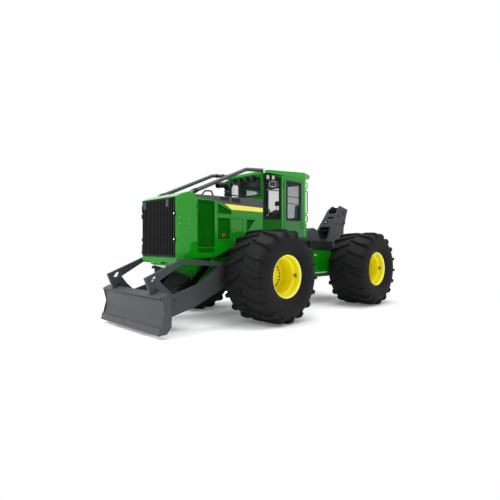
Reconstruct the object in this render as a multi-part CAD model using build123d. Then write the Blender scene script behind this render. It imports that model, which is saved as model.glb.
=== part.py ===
from build123d import *
import os
from math import atan2, cos, degrees, hypot, pi, radians, sin

# Cable skidder: an articulated four-wheel tractor with a front stacking blade, a rear winch and a fairlead arch.
# Millimetres. +Z is up, the front faces -Y and +X is the machine's left side.
# While it is modelled, y = 0 lies at the front axle and z = 0 at the ground; write_parts moves the whole
# machine so that its origin is the middle of its bounding box, on the ground.

# Driving dimensions

WHEELBASE = 3525
HALF_TRACK = 1285
TYRE_RADIUS = 930
TYRE_WIDTH = 1040
LUG_DEPTH = 62
LUGS_PER_SIDE = 18
TYRE_FLATS = 18
BEAD_RADIUS = 400
FLANGE_RADIUS = 423
RIM_WIDTH = 854
RIM_WALL = 18
DISC_OFFSET = -15
DISC_THICKNESS = 25

PLAY = 0.3
GAP = 5

PIVOT_Y = WHEELBASE / 2
PIVOT_PIN_RADIUS = 50
PIVOT_EYE_RADIUS = 150

FRAME_PLATE = 40
FRAME_TOP_Z = 1500
FRAME_HALF_WIDTH = 440
FRAME_TAIL_HALF = 370
FRAME_TAIL = 120
REAR_HALF_WIDTH = 450
AXLE_BEAM = 280
TOW_PLATE_Z = 1215
TOW_PLATE_THICKNESS = 40
TOW_HOLE_RADIUS = 25
DRAWBAR_Z = 920
DRAWBAR_THICKNESS = 40
HITCH_HOLE_RADIUS = 22
SPINDLE_RADIUS = 85
SPINDLE_LENGTH = 190
HUB_RADIUS = 190
HUB_LENGTH = 225

HOOD_HALF_WIDTH = 600
HOOD_FRONT_Y = -1790
HOOD_BACK_Y = 475
HOOD_BOTTOM_Z = 1220
HOOD_SHOULDER_Z = 2425
HOOD_RIDGE_Y = -1490
HOOD_RIDGE_Z = 2542
HOOD_BACK_Z = 1560
HOOD_WALL = 25
ENGINE_BOTTOM_Z = 1295
DECK_TOP_Z = 2500
DECK_FRONT_Y = -1360
EXHAUST_RADIUS = 63
GRILLE_HALF_WIDTH = 557
GRILLE_BOTTOM_Z = 1322
GRILLE_TOP_Z = 2418
GRILLE_DEPTH = 45
GRILLE_RIBS = 21

SCREEN_FRONT_Y = -1310
SCREEN_BACK_Y = -900
SCREEN_BOTTOM_Z = 1500
SCREEN_TOP_Z = 2400
SCREEN_THICKNESS = 30
SCREEN_LOUVRES = 14

CAB_FRONT_Y = 500
CAB_FRONT_HALF = 580
CAB_HALF_WIDTH = 700
CAB_PILLAR_Y = 1000
CAB_BACK_Y = 1885
CAB_FLOOR_Z = 1665
CAB_FLOOR_THICKNESS = 40
CAB_TOP_Z = 3120
CAB_POSTS_Y = (780, 960)
CAB_WALL = 50
DOOR_FRONT_Y = 1080
DOOR_BACK_Y = 1790
DOOR_BOTTOM_Z = 1725
DOOR_TOP_Z = 3065
DOOR_HINGE_X = CAB_HALF_WIDTH + 16
DOOR_HINGE_Y = DOOR_FRONT_Y - 20
GLASS = 8
# Windows: half width, bottom and top; the side ones' bottom and top; a door's front, back, bottom and top
WINDSHIELD = (500, 2640, 3050)
REAR_WINDOW = (560, 2180, 3030)
SIDE_WINDOW_Z = (2130, 3050)
DOOR_WINDOW = (1180, 1712, 2113, 3015)
ROOF_HALF_WIDTH = CAB_HALF_WIDTH + 10
ROOF_FRONT_Y = CAB_FRONT_Y + 5
ROOF_BACK_Y = 2120

BLADE_HALF_WIDTH = 1075
BLADE_SKIN = 25
ARM_OUTER_X = 720
ARM_THICKNESS = 60
ARM_PIVOT_Y = -500
ARM_PIVOT_Z = 930
ARM_PIN_RADIUS = 45
LIFT_X = 530
LIFT_TOP = (-950, 1220)
LIFT_FOOT = (-1850, 380)

# The steering cylinder's pins in plan, and how far the front and rear frames reach to each other
STEER_FRONT = (590, PIVOT_Y - 862.5)
STEER_BACK = (300, PIVOT_Y + 237.5)
FRONT_END_Y = PIVOT_Y - 612.5
REAR_FRONT_Y = PIVOT_Y + 797.5
REAR_END_Y = WHEELBASE + 725
STEER_Z = 1080
STEER_EYE_HALF = 30

WINCH_Y = REAR_FRONT_Y + 90
WINCH_Z = 1700
WINCH_CASE_RADIUS = 285
WINCH_HALF_WIDTH = 360
DRUM_HALF = 165
ARCH_FOOT_HALF = 295
ARCH_FOOT_Z = 1400
ARCH_LEAN = 6.7
ARCH_PLATE = 40
ARCH_BACK_Y = WHEELBASE + 1155
BLADE_TIP_Y = -2490

# The origin lies under the middle of the machine, from the blade's tower tips to the arch's top.
ORIGIN_Y = (BLADE_TIP_Y + ARCH_BACK_Y) / 2


def block(x0, x1, y0, y1, z0, z1):
    """A block between two corners."""
    return Pos((x0 + x1) / 2, (y0 + y1) / 2, (z0 + z1) / 2) * Box(x1 - x0, y1 - y0, z1 - z0)


def side_plate(outline, x0, x1):
    """A plate from x0 to x1 with an outline of (y, z) points."""
    wire = Polyline(*[(x0, y, z) for y, z in outline], close=True)
    return extrude(make_face(wire), amount=x1 - x0, dir=(1, 0, 0))


def plan_plate(outline, z0, z1):
    """A plate from z0 to z1 with an outline of (x, y) points."""
    wire = Polyline(*[(x, y, z0) for x, y in outline], close=True)
    return extrude(make_face(wire), amount=z1 - z0, dir=(0, 0, 1))


def front_plate(outline, y0, y1):
    """A plate from y0 to y1 with an outline of (x, z) points."""
    wire = Polyline(*[(x, y0, z) for x, z in outline], close=True)
    return extrude(make_face(wire), amount=y1 - y0, dir=(0, 1, 0))


def cross_bar(radius, x0, x1, y, z):
    """A round bar along X."""
    return Pos((x0 + x1) / 2, y, z) * Rot(0, 90, 0) * Cylinder(radius, x1 - x0)


def upright(radius, z0, z1, x, y):
    """A round bar along Z."""
    return Pos(x, y, (z0 + z1) / 2) * Cylinder(radius, z1 - z0)


def round_tube(points, radius, bend):
    """A bent round bar through points, with one bend radius."""
    path = FilletPolyline(*points, radius=bend)
    return sweep(path.location_at(0) * Circle(radius), path=path)


def both_sides(piece):
    """The piece and its mirror image across the machine's centre line."""
    return piece + mirror(piece, about=Plane.YZ)


def other_side(piece):
    return mirror(piece, about=Plane.YZ)


# Wheels, made about the origin with the axle along X and the outer side at +X


def drum(sections):
    """A many-sided drum about the axle through (x, radius) sections; a radius reaches to the corners."""
    rings = [Plane.YZ.offset(x) * RegularPolygon(radius, TYRE_FLATS) for x, radius in sections]
    return loft(rings, ruled=True)


def tyre():
    """A many-sided casing with a flat-topped slanted bar for each lug."""
    half = TYRE_WIDTH / 2
    tread = TYRE_RADIUS - LUG_DEPTH - 8
    shoulder = half - 110
    wall = 0.75 * TYRE_RADIUS
    casing = drum([(-half, wall), (-shoulder, tread), (shoulder, tread), (half, wall)])
    # A flat lies nearer to the axle than a corner does, by this much.
    reach = 1 / cos(pi / TYRE_FLATS)
    bore = (BEAD_RADIUS + PLAY) * reach
    lip = (FLANGE_RADIUS + 2) * reach
    bead_x = RIM_WIDTH / 2 - 33
    casing -= drum([(-half - 1, bore), (half + 1, bore)])
    dish = drum([(bead_x, lip), (half, 0.70 * TYRE_RADIUS)])
    casing -= both_sides(dish)
    # One lug in plan, (x, s): from the centre line out to the shoulder, its inner end leading.
    plan = [(-14, -96), (half, 36), (half, 104), (-14, -34)]
    top = TYRE_RADIUS * cos(radians(5.925))
    front = [(-14, 0.85 * TYRE_RADIUS), (-14, top), (half - 95, top), (half - 4, 0.86 * TYRE_RADIUS),
             (half - 22, 0.79 * TYRE_RADIUS)]
    left_lug = plan_plate(plan, 0.74 * TYRE_RADIUS, TYRE_RADIUS + 20) & front_plate(front, -200, 200)
    right_lug = mirror(left_lug, about=Plane.YZ)
    pitch = 360 / LUGS_PER_SIDE
    # The first lug's leading corner stands straight under the axle.
    start = degrees(atan2(-96, top))
    lugs = []
    for i in range(LUGS_PER_SIDE):
        lugs.append(Rot(start + i * pitch, 0, 0) * left_lug)
        lugs.append(Rot(start + (i + 0.5) * pitch, 0, 0) * right_lug)
    return casing + lugs


def rim():
    half = RIM_WIDTH / 2
    well = BEAD_RADIUS - 48
    outer = [(half, FLANGE_RADIUS), (half - 22, FLANGE_RADIUS), (half - 32, BEAD_RADIUS),
             (half - 127, BEAD_RADIUS - 4), (half - 157, well)]
    inner = [(half, FLANGE_RADIUS - RIM_WALL), (half - 16, FLANGE_RADIUS - RIM_WALL),
             (half - 29, BEAD_RADIUS - RIM_WALL), (half - 121, BEAD_RADIUS - 4 - RIM_WALL),
             (half - 151, well - RIM_WALL)]
    outline = outer + [(-x, r) for x, r in reversed(outer)] + [(-x, r) for x, r in inner]
    outline += list(reversed(inner))
    barrel = revolve(make_face(Polyline(*outline, close=True)), Axis.X)
    disc = cross_bar(well - 1, DISC_OFFSET - DISC_THICKNESS / 2, DISC_OFFSET + DISC_THICKNESS / 2, 0, 0)
    hub_end = DISC_OFFSET - HUB_LENGTH
    drum = cross_bar(HUB_RADIUS, hub_end, DISC_OFFSET, 0, 0)
    cover = cross_bar(150, DISC_OFFSET, DISC_OFFSET + 90, 0, 0)
    bore = cross_bar(SPINDLE_RADIUS + PLAY, hub_end, hub_end + SPINDLE_LENGTH + 2 * GAP, 0, 0)
    return barrel + disc + drum + cover - bore


def door_hinge(hinge, leaf):
    """A door's knuckles and leaves. hinge is (x, y, radius, pin radius, half length, levels)."""
    x, y, radius, pin, half, levels = hinge
    x0, x1, y0, y1 = leaf
    parts = Part()
    for z in levels:
        knuckle = upright(radius, z - half, z + half, x, y) + block(x0, x1, y0, y1, z - half, z + half)
        parts += knuckle - upright(pin + PLAY, z - half - 1, z + half + 1, x, y)
    return parts


def frame_hinge(hinge, leaf):
    """The frame's knuckles above and below each of the door's, with the pin that they hold."""
    x, y, radius, pin, half, levels = hinge
    x0, x1, y0, y1 = leaf
    parts = Part()
    for z in levels:
        for z0 in (z - 1.8 * half - 1, z + half + 1):
            z1 = z0 + 0.8 * half
            parts += upright(radius, z0, z1, x, y) + block(x0, x1, y0, y1, z0, z1)
        parts += upright(pin, z - 1.8 * half, z + 1.8 * half, x, y)
    return parts


def place_wheel(wheel, side, y):
    """side is +1 on the left, where the outer face is at +X, and -1 on the right."""
    turned = wheel if side > 0 else other_side(wheel)
    return Pos(side * HALF_TRACK, y, TYRE_RADIUS) * turned


def axle(y):
    """A beam across the frame with the differential in its middle and a spindle at each end."""
    hub_end = HALF_TRACK + DISC_OFFSET - HUB_LENGTH
    beam = block(-640, 640, -AXLE_BEAM / 2, AXLE_BEAM / 2, -AXLE_BEAM / 2, AXLE_BEAM / 2)
    tube = both_sides(cross_bar(125, 640, hub_end - 60, 0, 0))
    flange = both_sides(cross_bar(170, hub_end - 60, hub_end - GAP, 0, 0))
    spindle = both_sides(cross_bar(SPINDLE_RADIUS, hub_end - GAP, hub_end + SPINDLE_LENGTH, 0, 0))
    differential = cross_bar(215, -150, 150, 0, -20)
    nose = Pos(0, 0, 0) * Rot(90, 0, 0) * Cylinder(120, 560)
    return Pos(0, y, TYRE_RADIUS) * (beam + tube + flange + spindle + differential + nose)


def axle_notch(y, z0):
    """What an axle's beam takes out of the frame plates, from below."""
    top = TYRE_RADIUS + AXLE_BEAM / 2
    return block(-700, 700, y - AXLE_BEAM / 2 - 10, y + AXLE_BEAM / 2 + 10, z0, top)


# Hinges: (x, y, knuckle radius, pin radius, half length, heights), on the left side

DOOR_HINGE = (DOOR_HINGE_X, DOOR_HINGE_Y, 16, 7, 35, [1850, 2900])
DOOR_HINGE_DOOR_LEAF = (CAB_HALF_WIDTH, CAB_HALF_WIDTH + 8, DOOR_HINGE_Y, DOOR_FRONT_Y + 45)
DOOR_HINGE_FRAME_LEAF = (CAB_HALF_WIDTH, CAB_HALF_WIDTH + 8, DOOR_HINGE_Y - 45, DOOR_HINGE_Y)
SCREEN_HINGE = (HOOD_HALF_WIDTH + 11, SCREEN_FRONT_Y - 2, 11, 5, 30, [1560, 2270])
SCREEN_HINGE_DOOR_LEAF = (HOOD_HALF_WIDTH, HOOD_HALF_WIDTH + 6, SCREEN_FRONT_Y - 2, SCREEN_FRONT_Y + 40)
SCREEN_HINGE_FRAME_LEAF = (HOOD_HALF_WIDTH, HOOD_HALF_WIDTH + 6, SCREEN_FRONT_Y - 45, SCREEN_FRONT_Y - 2)
GRILLE_FACE_Y = HOOD_FRONT_Y + HOOD_WALL - GRILLE_DEPTH
GRILLE_HINGE = (-GRILLE_HALF_WIDTH - 18, HOOD_FRONT_Y - 13, 13, 6, 40, [1480, 2260])
GRILLE_HINGE_DOOR_LEAF = (-GRILLE_HALF_WIDTH - 18, 40 - GRILLE_HALF_WIDTH, HOOD_FRONT_Y - 26, GRILLE_FACE_Y)
GRILLE_HINGE_FRAME_LEAF = (-HOOD_HALF_WIDTH + 2, -GRILLE_HALF_WIDTH - 18, HOOD_FRONT_Y - 10, HOOD_FRONT_Y)


# Front frame

# Centre pivot levels: each row is one hinge, (bottom of lower lug, top of lower lug, bottom of upper, top)
PIVOT_LEVELS = [(700, 740, 840, 880), (1300, 1340, 1440, 1480)]


def lug_outline(toward, root_half, root_y):
    """A lug's plan: a half round about the pivot that widens to the frame. toward is -1 to the front."""
    eye = PIVOT_EYE_RADIUS
    arc = [(eye * cos(radians(a)), PIVOT_Y - toward * eye * sin(radians(a))) for a in range(0, 181, 20)]
    return arc + [(-root_half, root_y), (root_half, root_y)]


def front_chassis():
    w = FRAME_HALF_WIDTH
    t = FRAME_PLATE
    back = FRONT_END_Y - FRAME_TAIL
    side = [(-1700, 1295), (-1700, 1160), (-900, 900), (-400, 700), (400, 640), (back, 640),
            (back, FRAME_TOP_Z), (700, FRAME_TOP_Z), (560, 1350), (-300, 1295)]
    frame = both_sides(side_plate(side, w - t, w))
    inner = w - t
    # The back end draws in, so that the steering cylinders swing clear of it.
    tail = FRAME_TAIL_HALF
    plate = [(w, back), (tail, FRONT_END_Y), (tail - t, FRONT_END_Y), (inner, back)]
    frame += both_sides(plan_plate(plate, 640, FRAME_TOP_Z))
    frame += block(10 - tail, tail - 10, FRONT_END_Y - t, FRONT_END_Y, 640, FRAME_TOP_Z)
    frame += block(-inner, inner, -1700, -1660, 1160, 1295)
    frame += block(-inner, inner, -620, -580, 785, 1250)
    # Engine cradle
    for y in (-1070, 190):
        frame += block(-inner, inner, y, y + 60, ENGINE_BOTTOM_Z - 60, ENGINE_BOTTOM_Z)
    belly = [(-1660, 1173), (-900, 926), (-400, 726), (-180, 710), (-180, 684), (-400, 700), (-900, 900),
             (-1660, 1147)]
    frame += side_plate(belly, -inner, inner)
    floor = [(inner, 200), (inner, back), (tail - 10, FRONT_END_Y), (10 - tail, FRONT_END_Y), (-inner, back),
             (-inner, 200)]
    frame += plan_plate(floor, 640, 666)
    return frame - axle_notch(0, 500)


def hood_mounts(chassis):
    """What carries the hood: a stub on each side of the nose, and a beam on two uprights at the back."""
    w = FRAME_HALF_WIDTH
    inner = w - FRAME_PLATE
    edge = HOOD_HALF_WIDTH - 2
    stubs = both_sides(block(w, edge, -1690, -1640, HOOD_BOTTOM_Z - 30, HOOD_BOTTOM_Z))
    beam = block(-edge, edge, 340, 390, HOOD_BACK_Z - 50, HOOD_BACK_Z)
    beam += both_sides(block(inner, w, 340, 390, 1280, HOOD_BACK_Z - 50))
    return stubs + (beam - chassis)


def pivot_lugs_front():
    root = FRAME_TAIL_HALF - 10
    lugs = Part()
    for row in PIVOT_LEVELS:
        for z0, z1 in (row[0:2], row[2:4]):
            lugs += plan_plate(lug_outline(-1, root, FRONT_END_Y), z0, z1)
        lugs += upright(PIVOT_PIN_RADIUS, row[0] - 20, row[3] + 20, 0, PIVOT_Y)
        lugs += upright(PIVOT_PIN_RADIUS + 25, row[3], row[3] + 20, 0, PIVOT_Y)
        lugs += upright(PIVOT_PIN_RADIUS + 25, row[0] - 20, row[0], 0, PIVOT_Y)
    outline = [(root, FRONT_END_Y), (root - 60, FRONT_END_Y), (130, PIVOT_Y - 202), (170, PIVOT_Y - 192)]
    web = plan_plate(outline, PIVOT_LEVELS[0][1], PIVOT_LEVELS[1][2])
    return lugs + both_sides(web)


def arm_pivots():
    """Blade arm pivots: a boss on each side plate, its pin through the arm, and a cap outside."""
    arm_inner = ARM_OUTER_X - ARM_THICKNESS
    boss = cross_bar(85, FRAME_HALF_WIDTH, arm_inner - GAP, ARM_PIVOT_Y, ARM_PIVOT_Z)
    pin = cross_bar(ARM_PIN_RADIUS, arm_inner - GAP, ARM_OUTER_X + GAP, ARM_PIVOT_Y, ARM_PIVOT_Z)
    cap = cross_bar(65, ARM_OUTER_X + GAP, ARM_OUTER_X + 22, ARM_PIVOT_Y, ARM_PIVOT_Z)
    return both_sides(boss + pin + cap)


def lift_anchors():
    """The lift cylinders' upper pins, which stand out of the side plates."""
    y, z = LIFT_TOP
    lift = cross_bar(60, FRAME_HALF_WIDTH, LIFT_X - 40 - GAP, y, z)
    lift += cross_bar(32, LIFT_X - 40 - GAP, LIFT_X + 40 + GAP, y, z)
    lift += cross_bar(48, LIFT_X + 40 + GAP, LIFT_X + 57, y, z)
    return both_sides(lift)


def steer_bracket(place, wall_x, with_pin):
    """Two level ears from a frame wall out round a steering cylinder's eye."""
    x, y = place
    low = STEER_Z - STEER_EYE_HALF - GAP
    high = STEER_Z + STEER_EYE_HALF + GAP
    ears = Part()
    for z0, z1 in ((low - 25, low), (high, high + 25)):
        ear = block(wall_x, x, y - 50, y + 50, z0, z1) + upright(50, z0, z1, x, y)
        ears += ear
    if with_pin:
        ears += upright(25, low - 25, high + 25, x, y)
    return ears


def tow_plate():
    plate = block(-75, 75, -1790, -1700, TOW_PLATE_Z - TOW_PLATE_THICKNESS, TOW_PLATE_Z)
    return plate - upright(TOW_HOLE_RADIUS, TOW_PLATE_Z - TOW_PLATE_THICKNESS - 1, TOW_PLATE_Z + 1, 0, -1745)


def engine_block():
    return block(-330, 330, -1150, 330, ENGINE_BOTTOM_Z, 2050)


# Hood


# The hood's top edge on its sides, (y, z), behind the ridge; the deck's side plates hang down to it.
DECK_EDGE = [(DECK_FRONT_Y, 2445), (-905, 2422), (-851, 2409), (-685, 2370), (HOOD_BACK_Y, 2352)]

# Sunk panels in the hood's sides, (y, z)
SIDE_PANELS = [
    [(-828, 2372), (-828, 2160), (-455, 2160), (-455, 2237)],
    [(-828, 2085), (-828, 1640), (-489, 1640), (-489, 2085)],
    [(-20, 2085), (-20, 1790), (240, 2085)],
]


def hood_shell():
    w = HOOD_HALF_WIDTH
    t = HOOD_WALL
    nose = [(HOOD_FRONT_Y, HOOD_SHOULDER_Z), (-1680, 2482), (HOOD_RIDGE_Y, HOOD_RIDGE_Z), (DECK_FRONT_Y, DECK_TOP_Z)]
    foot = [(HOOD_BACK_Y, HOOD_BACK_Z), (-200, HOOD_BACK_Z), (-900, 1300), (-1350, 1290), (-1600, HOOD_BOTTOM_Z),
            (HOOD_FRONT_Y, HOOD_BOTTOM_Z)]
    outer = side_plate(nose + DECK_EDGE + foot, -w, w)
    inside = [(y, z - t) for y, z in nose[1:3] + [(DECK_FRONT_Y - t, DECK_TOP_Z), (DECK_FRONT_Y - t, 2445)]]
    inside += [(y, z - t) for y, z in DECK_EDGE[1:-1]] + [(HOOD_BACK_Y + 5, DECK_EDGE[-1][1] - t)]
    inside += [(HOOD_BACK_Y + 5, HOOD_BOTTOM_Z - 10), (HOOD_FRONT_Y + t, HOOD_BOTTOM_Z - 10)]
    hood = outer - side_plate([(HOOD_FRONT_Y + t, HOOD_SHOULDER_Z - t)] + inside, t - w, w - t)
    grille_gap = block(-GRILLE_HALF_WIDTH - GAP, GRILLE_HALF_WIDTH + GAP, HOOD_FRONT_Y - 1, HOOD_FRONT_Y + t + 1,
                       GRILLE_BOTTOM_Z - GAP, GRILLE_TOP_Z + GAP)
    screen_gap = block(-w - 1, w + 1, SCREEN_FRONT_Y - GAP, SCREEN_BACK_Y + GAP, SCREEN_BOTTOM_Z - GAP,
                       SCREEN_TOP_Z + GAP)
    hood = hood - grille_gap - screen_gap
    for outline in SIDE_PANELS:
        hood -= both_sides(side_plate(outline, w - 10, w + 1))
    hood += frame_hinge(GRILLE_HINGE, GRILLE_HINGE_FRAME_LEAF)
    return hood + both_sides(frame_hinge(SCREEN_HINGE, SCREEN_HINGE_FRAME_LEAF))


def hood_deck():
    """The dark cover over the hood, which hangs down over the sides in front of the cab."""
    w = HOOD_HALF_WIDTH
    t = HOOD_WALL
    outline = [(DECK_FRONT_Y, DECK_TOP_Z), (HOOD_BACK_Y, DECK_TOP_Z + 35)] + list(reversed(DECK_EDGE))
    inside = [(DECK_FRONT_Y + t, DECK_TOP_Z - t), (HOOD_BACK_Y - t, DECK_TOP_Z + 35 - t), (HOOD_BACK_Y - t, 2300),
              (DECK_FRONT_Y + t, 2300)]
    deck = side_plate(outline, -w, w) - side_plate(inside, t - w, w - t)
    # The lifting handle of its left-hand flap
    z = DECK_TOP_Z
    return deck + round_tube([(300, -1020, z - 5), (300, -990, z + 95), (300, -700, z + 95), (300, -670, z)], 13, 40)


def exhaust_stack(deck):
    path = [(0, -33, DECK_TOP_Z + 5), (0, -33, 2880), (0, -330, 2830)]
    pipe = round_tube(path, EXHAUST_RADIUS, 110)
    tip = degrees(atan2(50, 297))
    pipe -= Pos(0, -330, 2830) * Rot(90 + tip, 0, 0) * Cylinder(EXHAUST_RADIUS - 8, 160)
    return pipe - deck


def grille_door():
    w = GRILLE_HALF_WIDTH
    y0 = GRILLE_FACE_Y
    y1 = y0 + GRILLE_DEPTH
    edge = 30
    door = block(-w, w, y0, y1, GRILLE_BOTTOM_Z, GRILLE_TOP_Z)
    door -= block(edge - w, w - edge, y0 - 1, y1 + 1, GRILLE_BOTTOM_Z + edge, GRILLE_TOP_Z - edge)
    pitch = 2 * (w - edge) / GRILLE_RIBS
    for i in range(1, GRILLE_RIBS):
        x = edge - w + i * pitch
        door += block(x - 9, x + 9, y0, y1 - 12, GRILLE_BOTTOM_Z + edge, GRILLE_TOP_Z - edge)
    for i in range(1, 6):
        z = GRILLE_BOTTOM_Z + i * (GRILLE_TOP_Z - GRILLE_BOTTOM_Z) / 6
        door += block(edge - w, w - edge, y0 + 14, y1 - 4, z - 8, z + 8)
    return door + door_hinge(GRILLE_HINGE, GRILLE_HINGE_DOOR_LEAF)


def screen_door():
    """The left side's louvred screen, hinged at its front edge."""
    x1 = HOOD_HALF_WIDTH
    x0 = x1 - SCREEN_THICKNESS
    edge = 22
    door = block(x0, x1, SCREEN_FRONT_Y, SCREEN_BACK_Y, SCREEN_BOTTOM_Z, SCREEN_TOP_Z)
    door -= block(x0 - 1, x1 + 1, SCREEN_FRONT_Y + edge, SCREEN_BACK_Y - edge, SCREEN_BOTTOM_Z + edge,
                  SCREEN_TOP_Z - edge)
    pitch = (SCREEN_BACK_Y - SCREEN_FRONT_Y - 2 * edge) / SCREEN_LOUVRES
    for i in range(SCREEN_LOUVRES):
        y = SCREEN_FRONT_Y + edge + (i + 0.5) * pitch
        door += block(x0 + 4, x0 + 12, y - 0.42 * pitch, y + 0.42 * pitch, SCREEN_BOTTOM_Z + edge,
                      SCREEN_TOP_Z - edge)
    return door + door_hinge(SCREEN_HINGE, SCREEN_HINGE_DOOR_LEAF)


# Cab


def cab_plan(inset):
    """The cab's six-sided plan, drawn in by inset."""
    lean = (CAB_HALF_WIDTH - CAB_FRONT_HALF) / (CAB_PILLAR_Y - CAB_FRONT_Y)
    front = CAB_FRONT_HALF - inset + inset * lean
    side = CAB_HALF_WIDTH - inset
    left = [(front, CAB_FRONT_Y + inset), (side, CAB_PILLAR_Y), (side, CAB_BACK_Y - inset)]
    return left + [(-x, y) for x, y in reversed(left)]


def cab_floor():
    """The floor plate, with the four posts that carry it on the frame."""
    floor = plan_plate(cab_plan(0), CAB_FLOOR_Z, CAB_FLOOR_Z + CAB_FLOOR_THICKNESS)
    for x in (30 - FRAME_HALF_WIDTH, FRAME_HALF_WIDTH - 30):
        for y in CAB_POSTS_Y:
            floor += upright(60, FRAME_TOP_Z, CAB_FLOOR_Z, x, y)
    return floor


def quarter_frame():
    """The plane of the left front quarter, origin at its middle at z = 0, local x along it and y up."""
    along = Vector(CAB_HALF_WIDTH - CAB_FRONT_HALF, CAB_PILLAR_Y - CAB_FRONT_Y, 0)
    middle = ((CAB_HALF_WIDTH + CAB_FRONT_HALF) / 2, (CAB_PILLAR_Y + CAB_FRONT_Y) / 2, 0)
    return Plane(origin=middle, x_dir=along, z_dir=along.cross(Vector(0, 0, 1)))


def quarter_slab(half, z0, z1, depth0, depth1):
    """A slab in the left front quarter's plane, from depth0 outside to depth1 inside."""
    plane = quarter_frame()
    middle = (z0 + z1) / 2
    return plane * Pos(0, middle, (depth0 + depth1) / 2) * Box(2 * half, z1 - z0, abs(depth1 - depth0))


def cab_shell():
    z0 = CAB_FLOOR_Z + CAB_FLOOR_THICKNESS
    shell = plan_plate(cab_plan(0), z0, CAB_TOP_Z) - plan_plate(cab_plan(CAB_WALL), z0 - 1, CAB_TOP_Z + 1)
    half, low, high = WINDSHIELD
    shell -= block(-half, half, CAB_FRONT_Y - 5, CAB_FRONT_Y + CAB_WALL + 5, low, high)
    half, low, high = REAR_WINDOW
    shell -= block(-half, half, CAB_BACK_Y - CAB_WALL - 5, CAB_BACK_Y + 5, low, high)
    low, high = SIDE_WINDOW_Z
    cut = quarter_slab(205, low, high, 80, -80)
    shell -= both_sides(cut)
    door_gap = block(CAB_HALF_WIDTH - CAB_WALL - 5, CAB_HALF_WIDTH + 5, DOOR_FRONT_Y - GAP, DOOR_BACK_Y + GAP,
                     DOOR_BOTTOM_Z - GAP, DOOR_TOP_Z + GAP)
    shell -= both_sides(door_gap)
    shell += both_sides(frame_hinge(DOOR_HINGE, DOOR_HINGE_FRAME_LEAF))
    return shell


def cab_door():
    x1 = CAB_HALF_WIDTH
    x0 = x1 - 45
    door = block(x0, x1, DOOR_FRONT_Y, DOOR_BACK_Y, DOOR_BOTTOM_Z, DOOR_TOP_Z)
    y0, y1, z0, z1 = DOOR_WINDOW
    door -= block(x0 - 1, x1 + 1, y0, y1, z0, z1)
    door += door_hinge(DOOR_HINGE, DOOR_HINGE_DOOR_LEAF)
    return door


def door_glass():
    y0, y1, z0, z1 = DOOR_WINDOW
    x = CAB_HALF_WIDTH - 20
    return block(x - GLASS, x, y0, y1, z0, z1)


def cab_glass():
    half, low, high = WINDSHIELD
    y = CAB_FRONT_Y + 20
    panes = block(-half, half, y, y + GLASS, low, high)
    half, low, high = REAR_WINDOW
    y = CAB_BACK_Y - 20
    panes += block(-half, half, y - GLASS, y, low, high)
    low, high = SIDE_WINDOW_Z
    panes += both_sides(quarter_slab(205, low, high, -20, -20 - GLASS))
    return panes


def cab_roof():
    side = [(ROOF_FRONT_Y, CAB_TOP_Z), (ROOF_FRONT_Y, CAB_TOP_Z + 70), (1830, CAB_TOP_Z + 170),
            (ROOF_BACK_Y, CAB_TOP_Z + 142), (ROOF_BACK_Y, CAB_TOP_Z + 60), (CAB_BACK_Y, CAB_TOP_Z)]
    w = ROOF_HALF_WIDTH
    plan = [(w - 60, ROOF_FRONT_Y), (w, ROOF_FRONT_Y + 60), (w, ROOF_BACK_Y - 290), (w - 60, ROOF_BACK_Y),
            (60 - w, ROOF_BACK_Y), (-w, ROOF_BACK_Y - 290), (-w, ROOF_FRONT_Y + 60), (60 - w, ROOF_FRONT_Y)]
    return side_plate(side, -w, w) & plan_plate(plan, CAB_TOP_Z - 50, CAB_TOP_Z + 300)


def cab_back_box():
    """A low housing across the back of the cab."""
    y = CAB_BACK_Y
    side = [(y, CAB_FLOOR_Z), (y + 40, CAB_FLOOR_Z), (y + 40, 2040), (y + 20, 2065), (y, 2065)]
    return side_plate(side, -CAB_HALF_WIDTH, CAB_HALF_WIDTH)


def handrails():
    """Two bent rails one over the other at each back corner of the cab."""
    x = CAB_HALF_WIDTH - 15
    rails = Part()
    for low, high in ((2095, 2262), (2305, 2857)):
        path = [(x, CAB_BACK_Y, high), (x, CAB_BACK_Y + 85, high), (x, CAB_BACK_Y + 85, low), (x, CAB_BACK_Y, low)]
        rails += round_tube(path, 15, 45)
    return both_sides(rails)


def work_lights():
    """Boxy lamps on short stubs: four over the windshield and two over each front quarter."""
    lamps = Part()
    for x in (-310, -110, 110, 310):
        lamps += block(x - 55, x + 55, CAB_FRONT_Y - 100, CAB_FRONT_Y - 30, 2985, 3095)
        lamps += block(x - 15, x + 15, CAB_FRONT_Y - 30, CAB_FRONT_Y, 3058, 3090)
    plane = quarter_frame()
    for along in (-190, -50):
        lamp = plane * Pos(along, 3032, 65) * Box(100, 115, 70) + plane * Pos(along, 3072, 15) * Box(30, 32, 30)
        lamps += both_sides(lamp)
    return lamps


def cab_steps():
    """A ladder under each door: two cheeks that hang from the floor, with three treads."""
    cheek = [(620, CAB_FLOOR_Z), (620, 1625), (735, 1600), (795, 640), (930, 600), (930, 640), (850, 690),
             (795, CAB_FLOOR_Z)]
    y0 = DOOR_FRONT_Y + 50
    y1 = y0 + 300
    ladder = front_plate(cheek, y0, y0 + 20) + front_plate(cheek, y1 - 20, y1)
    # Treads: (inner x, outer x, top)
    for x0, x1, z in ((800, 930, 640), (780, 900, 970), (762, 870, 1300)):
        ladder += block(x0, x1, y0, y1, z - 25, z)
    return both_sides(ladder)


def cab_seat():
    z = CAB_FLOOR_Z + CAB_FLOOR_THICKNESS
    seat = block(-180, 180, 1290, 1580, z, z + 260)
    seat += block(-260, 260, 1180, 1670, z + 260, z + 380)
    back = [(1670, z + 380), (1570, z + 380), (1620, z + 715), (1710, z + 715)]
    seat += side_plate(back, -240, 240)
    seat += block(-120, 120, 1640, 1730, z + 805, z + 950)
    return seat + both_sides(upright(9, z + 700, z + 810, 70, 1680))


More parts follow.
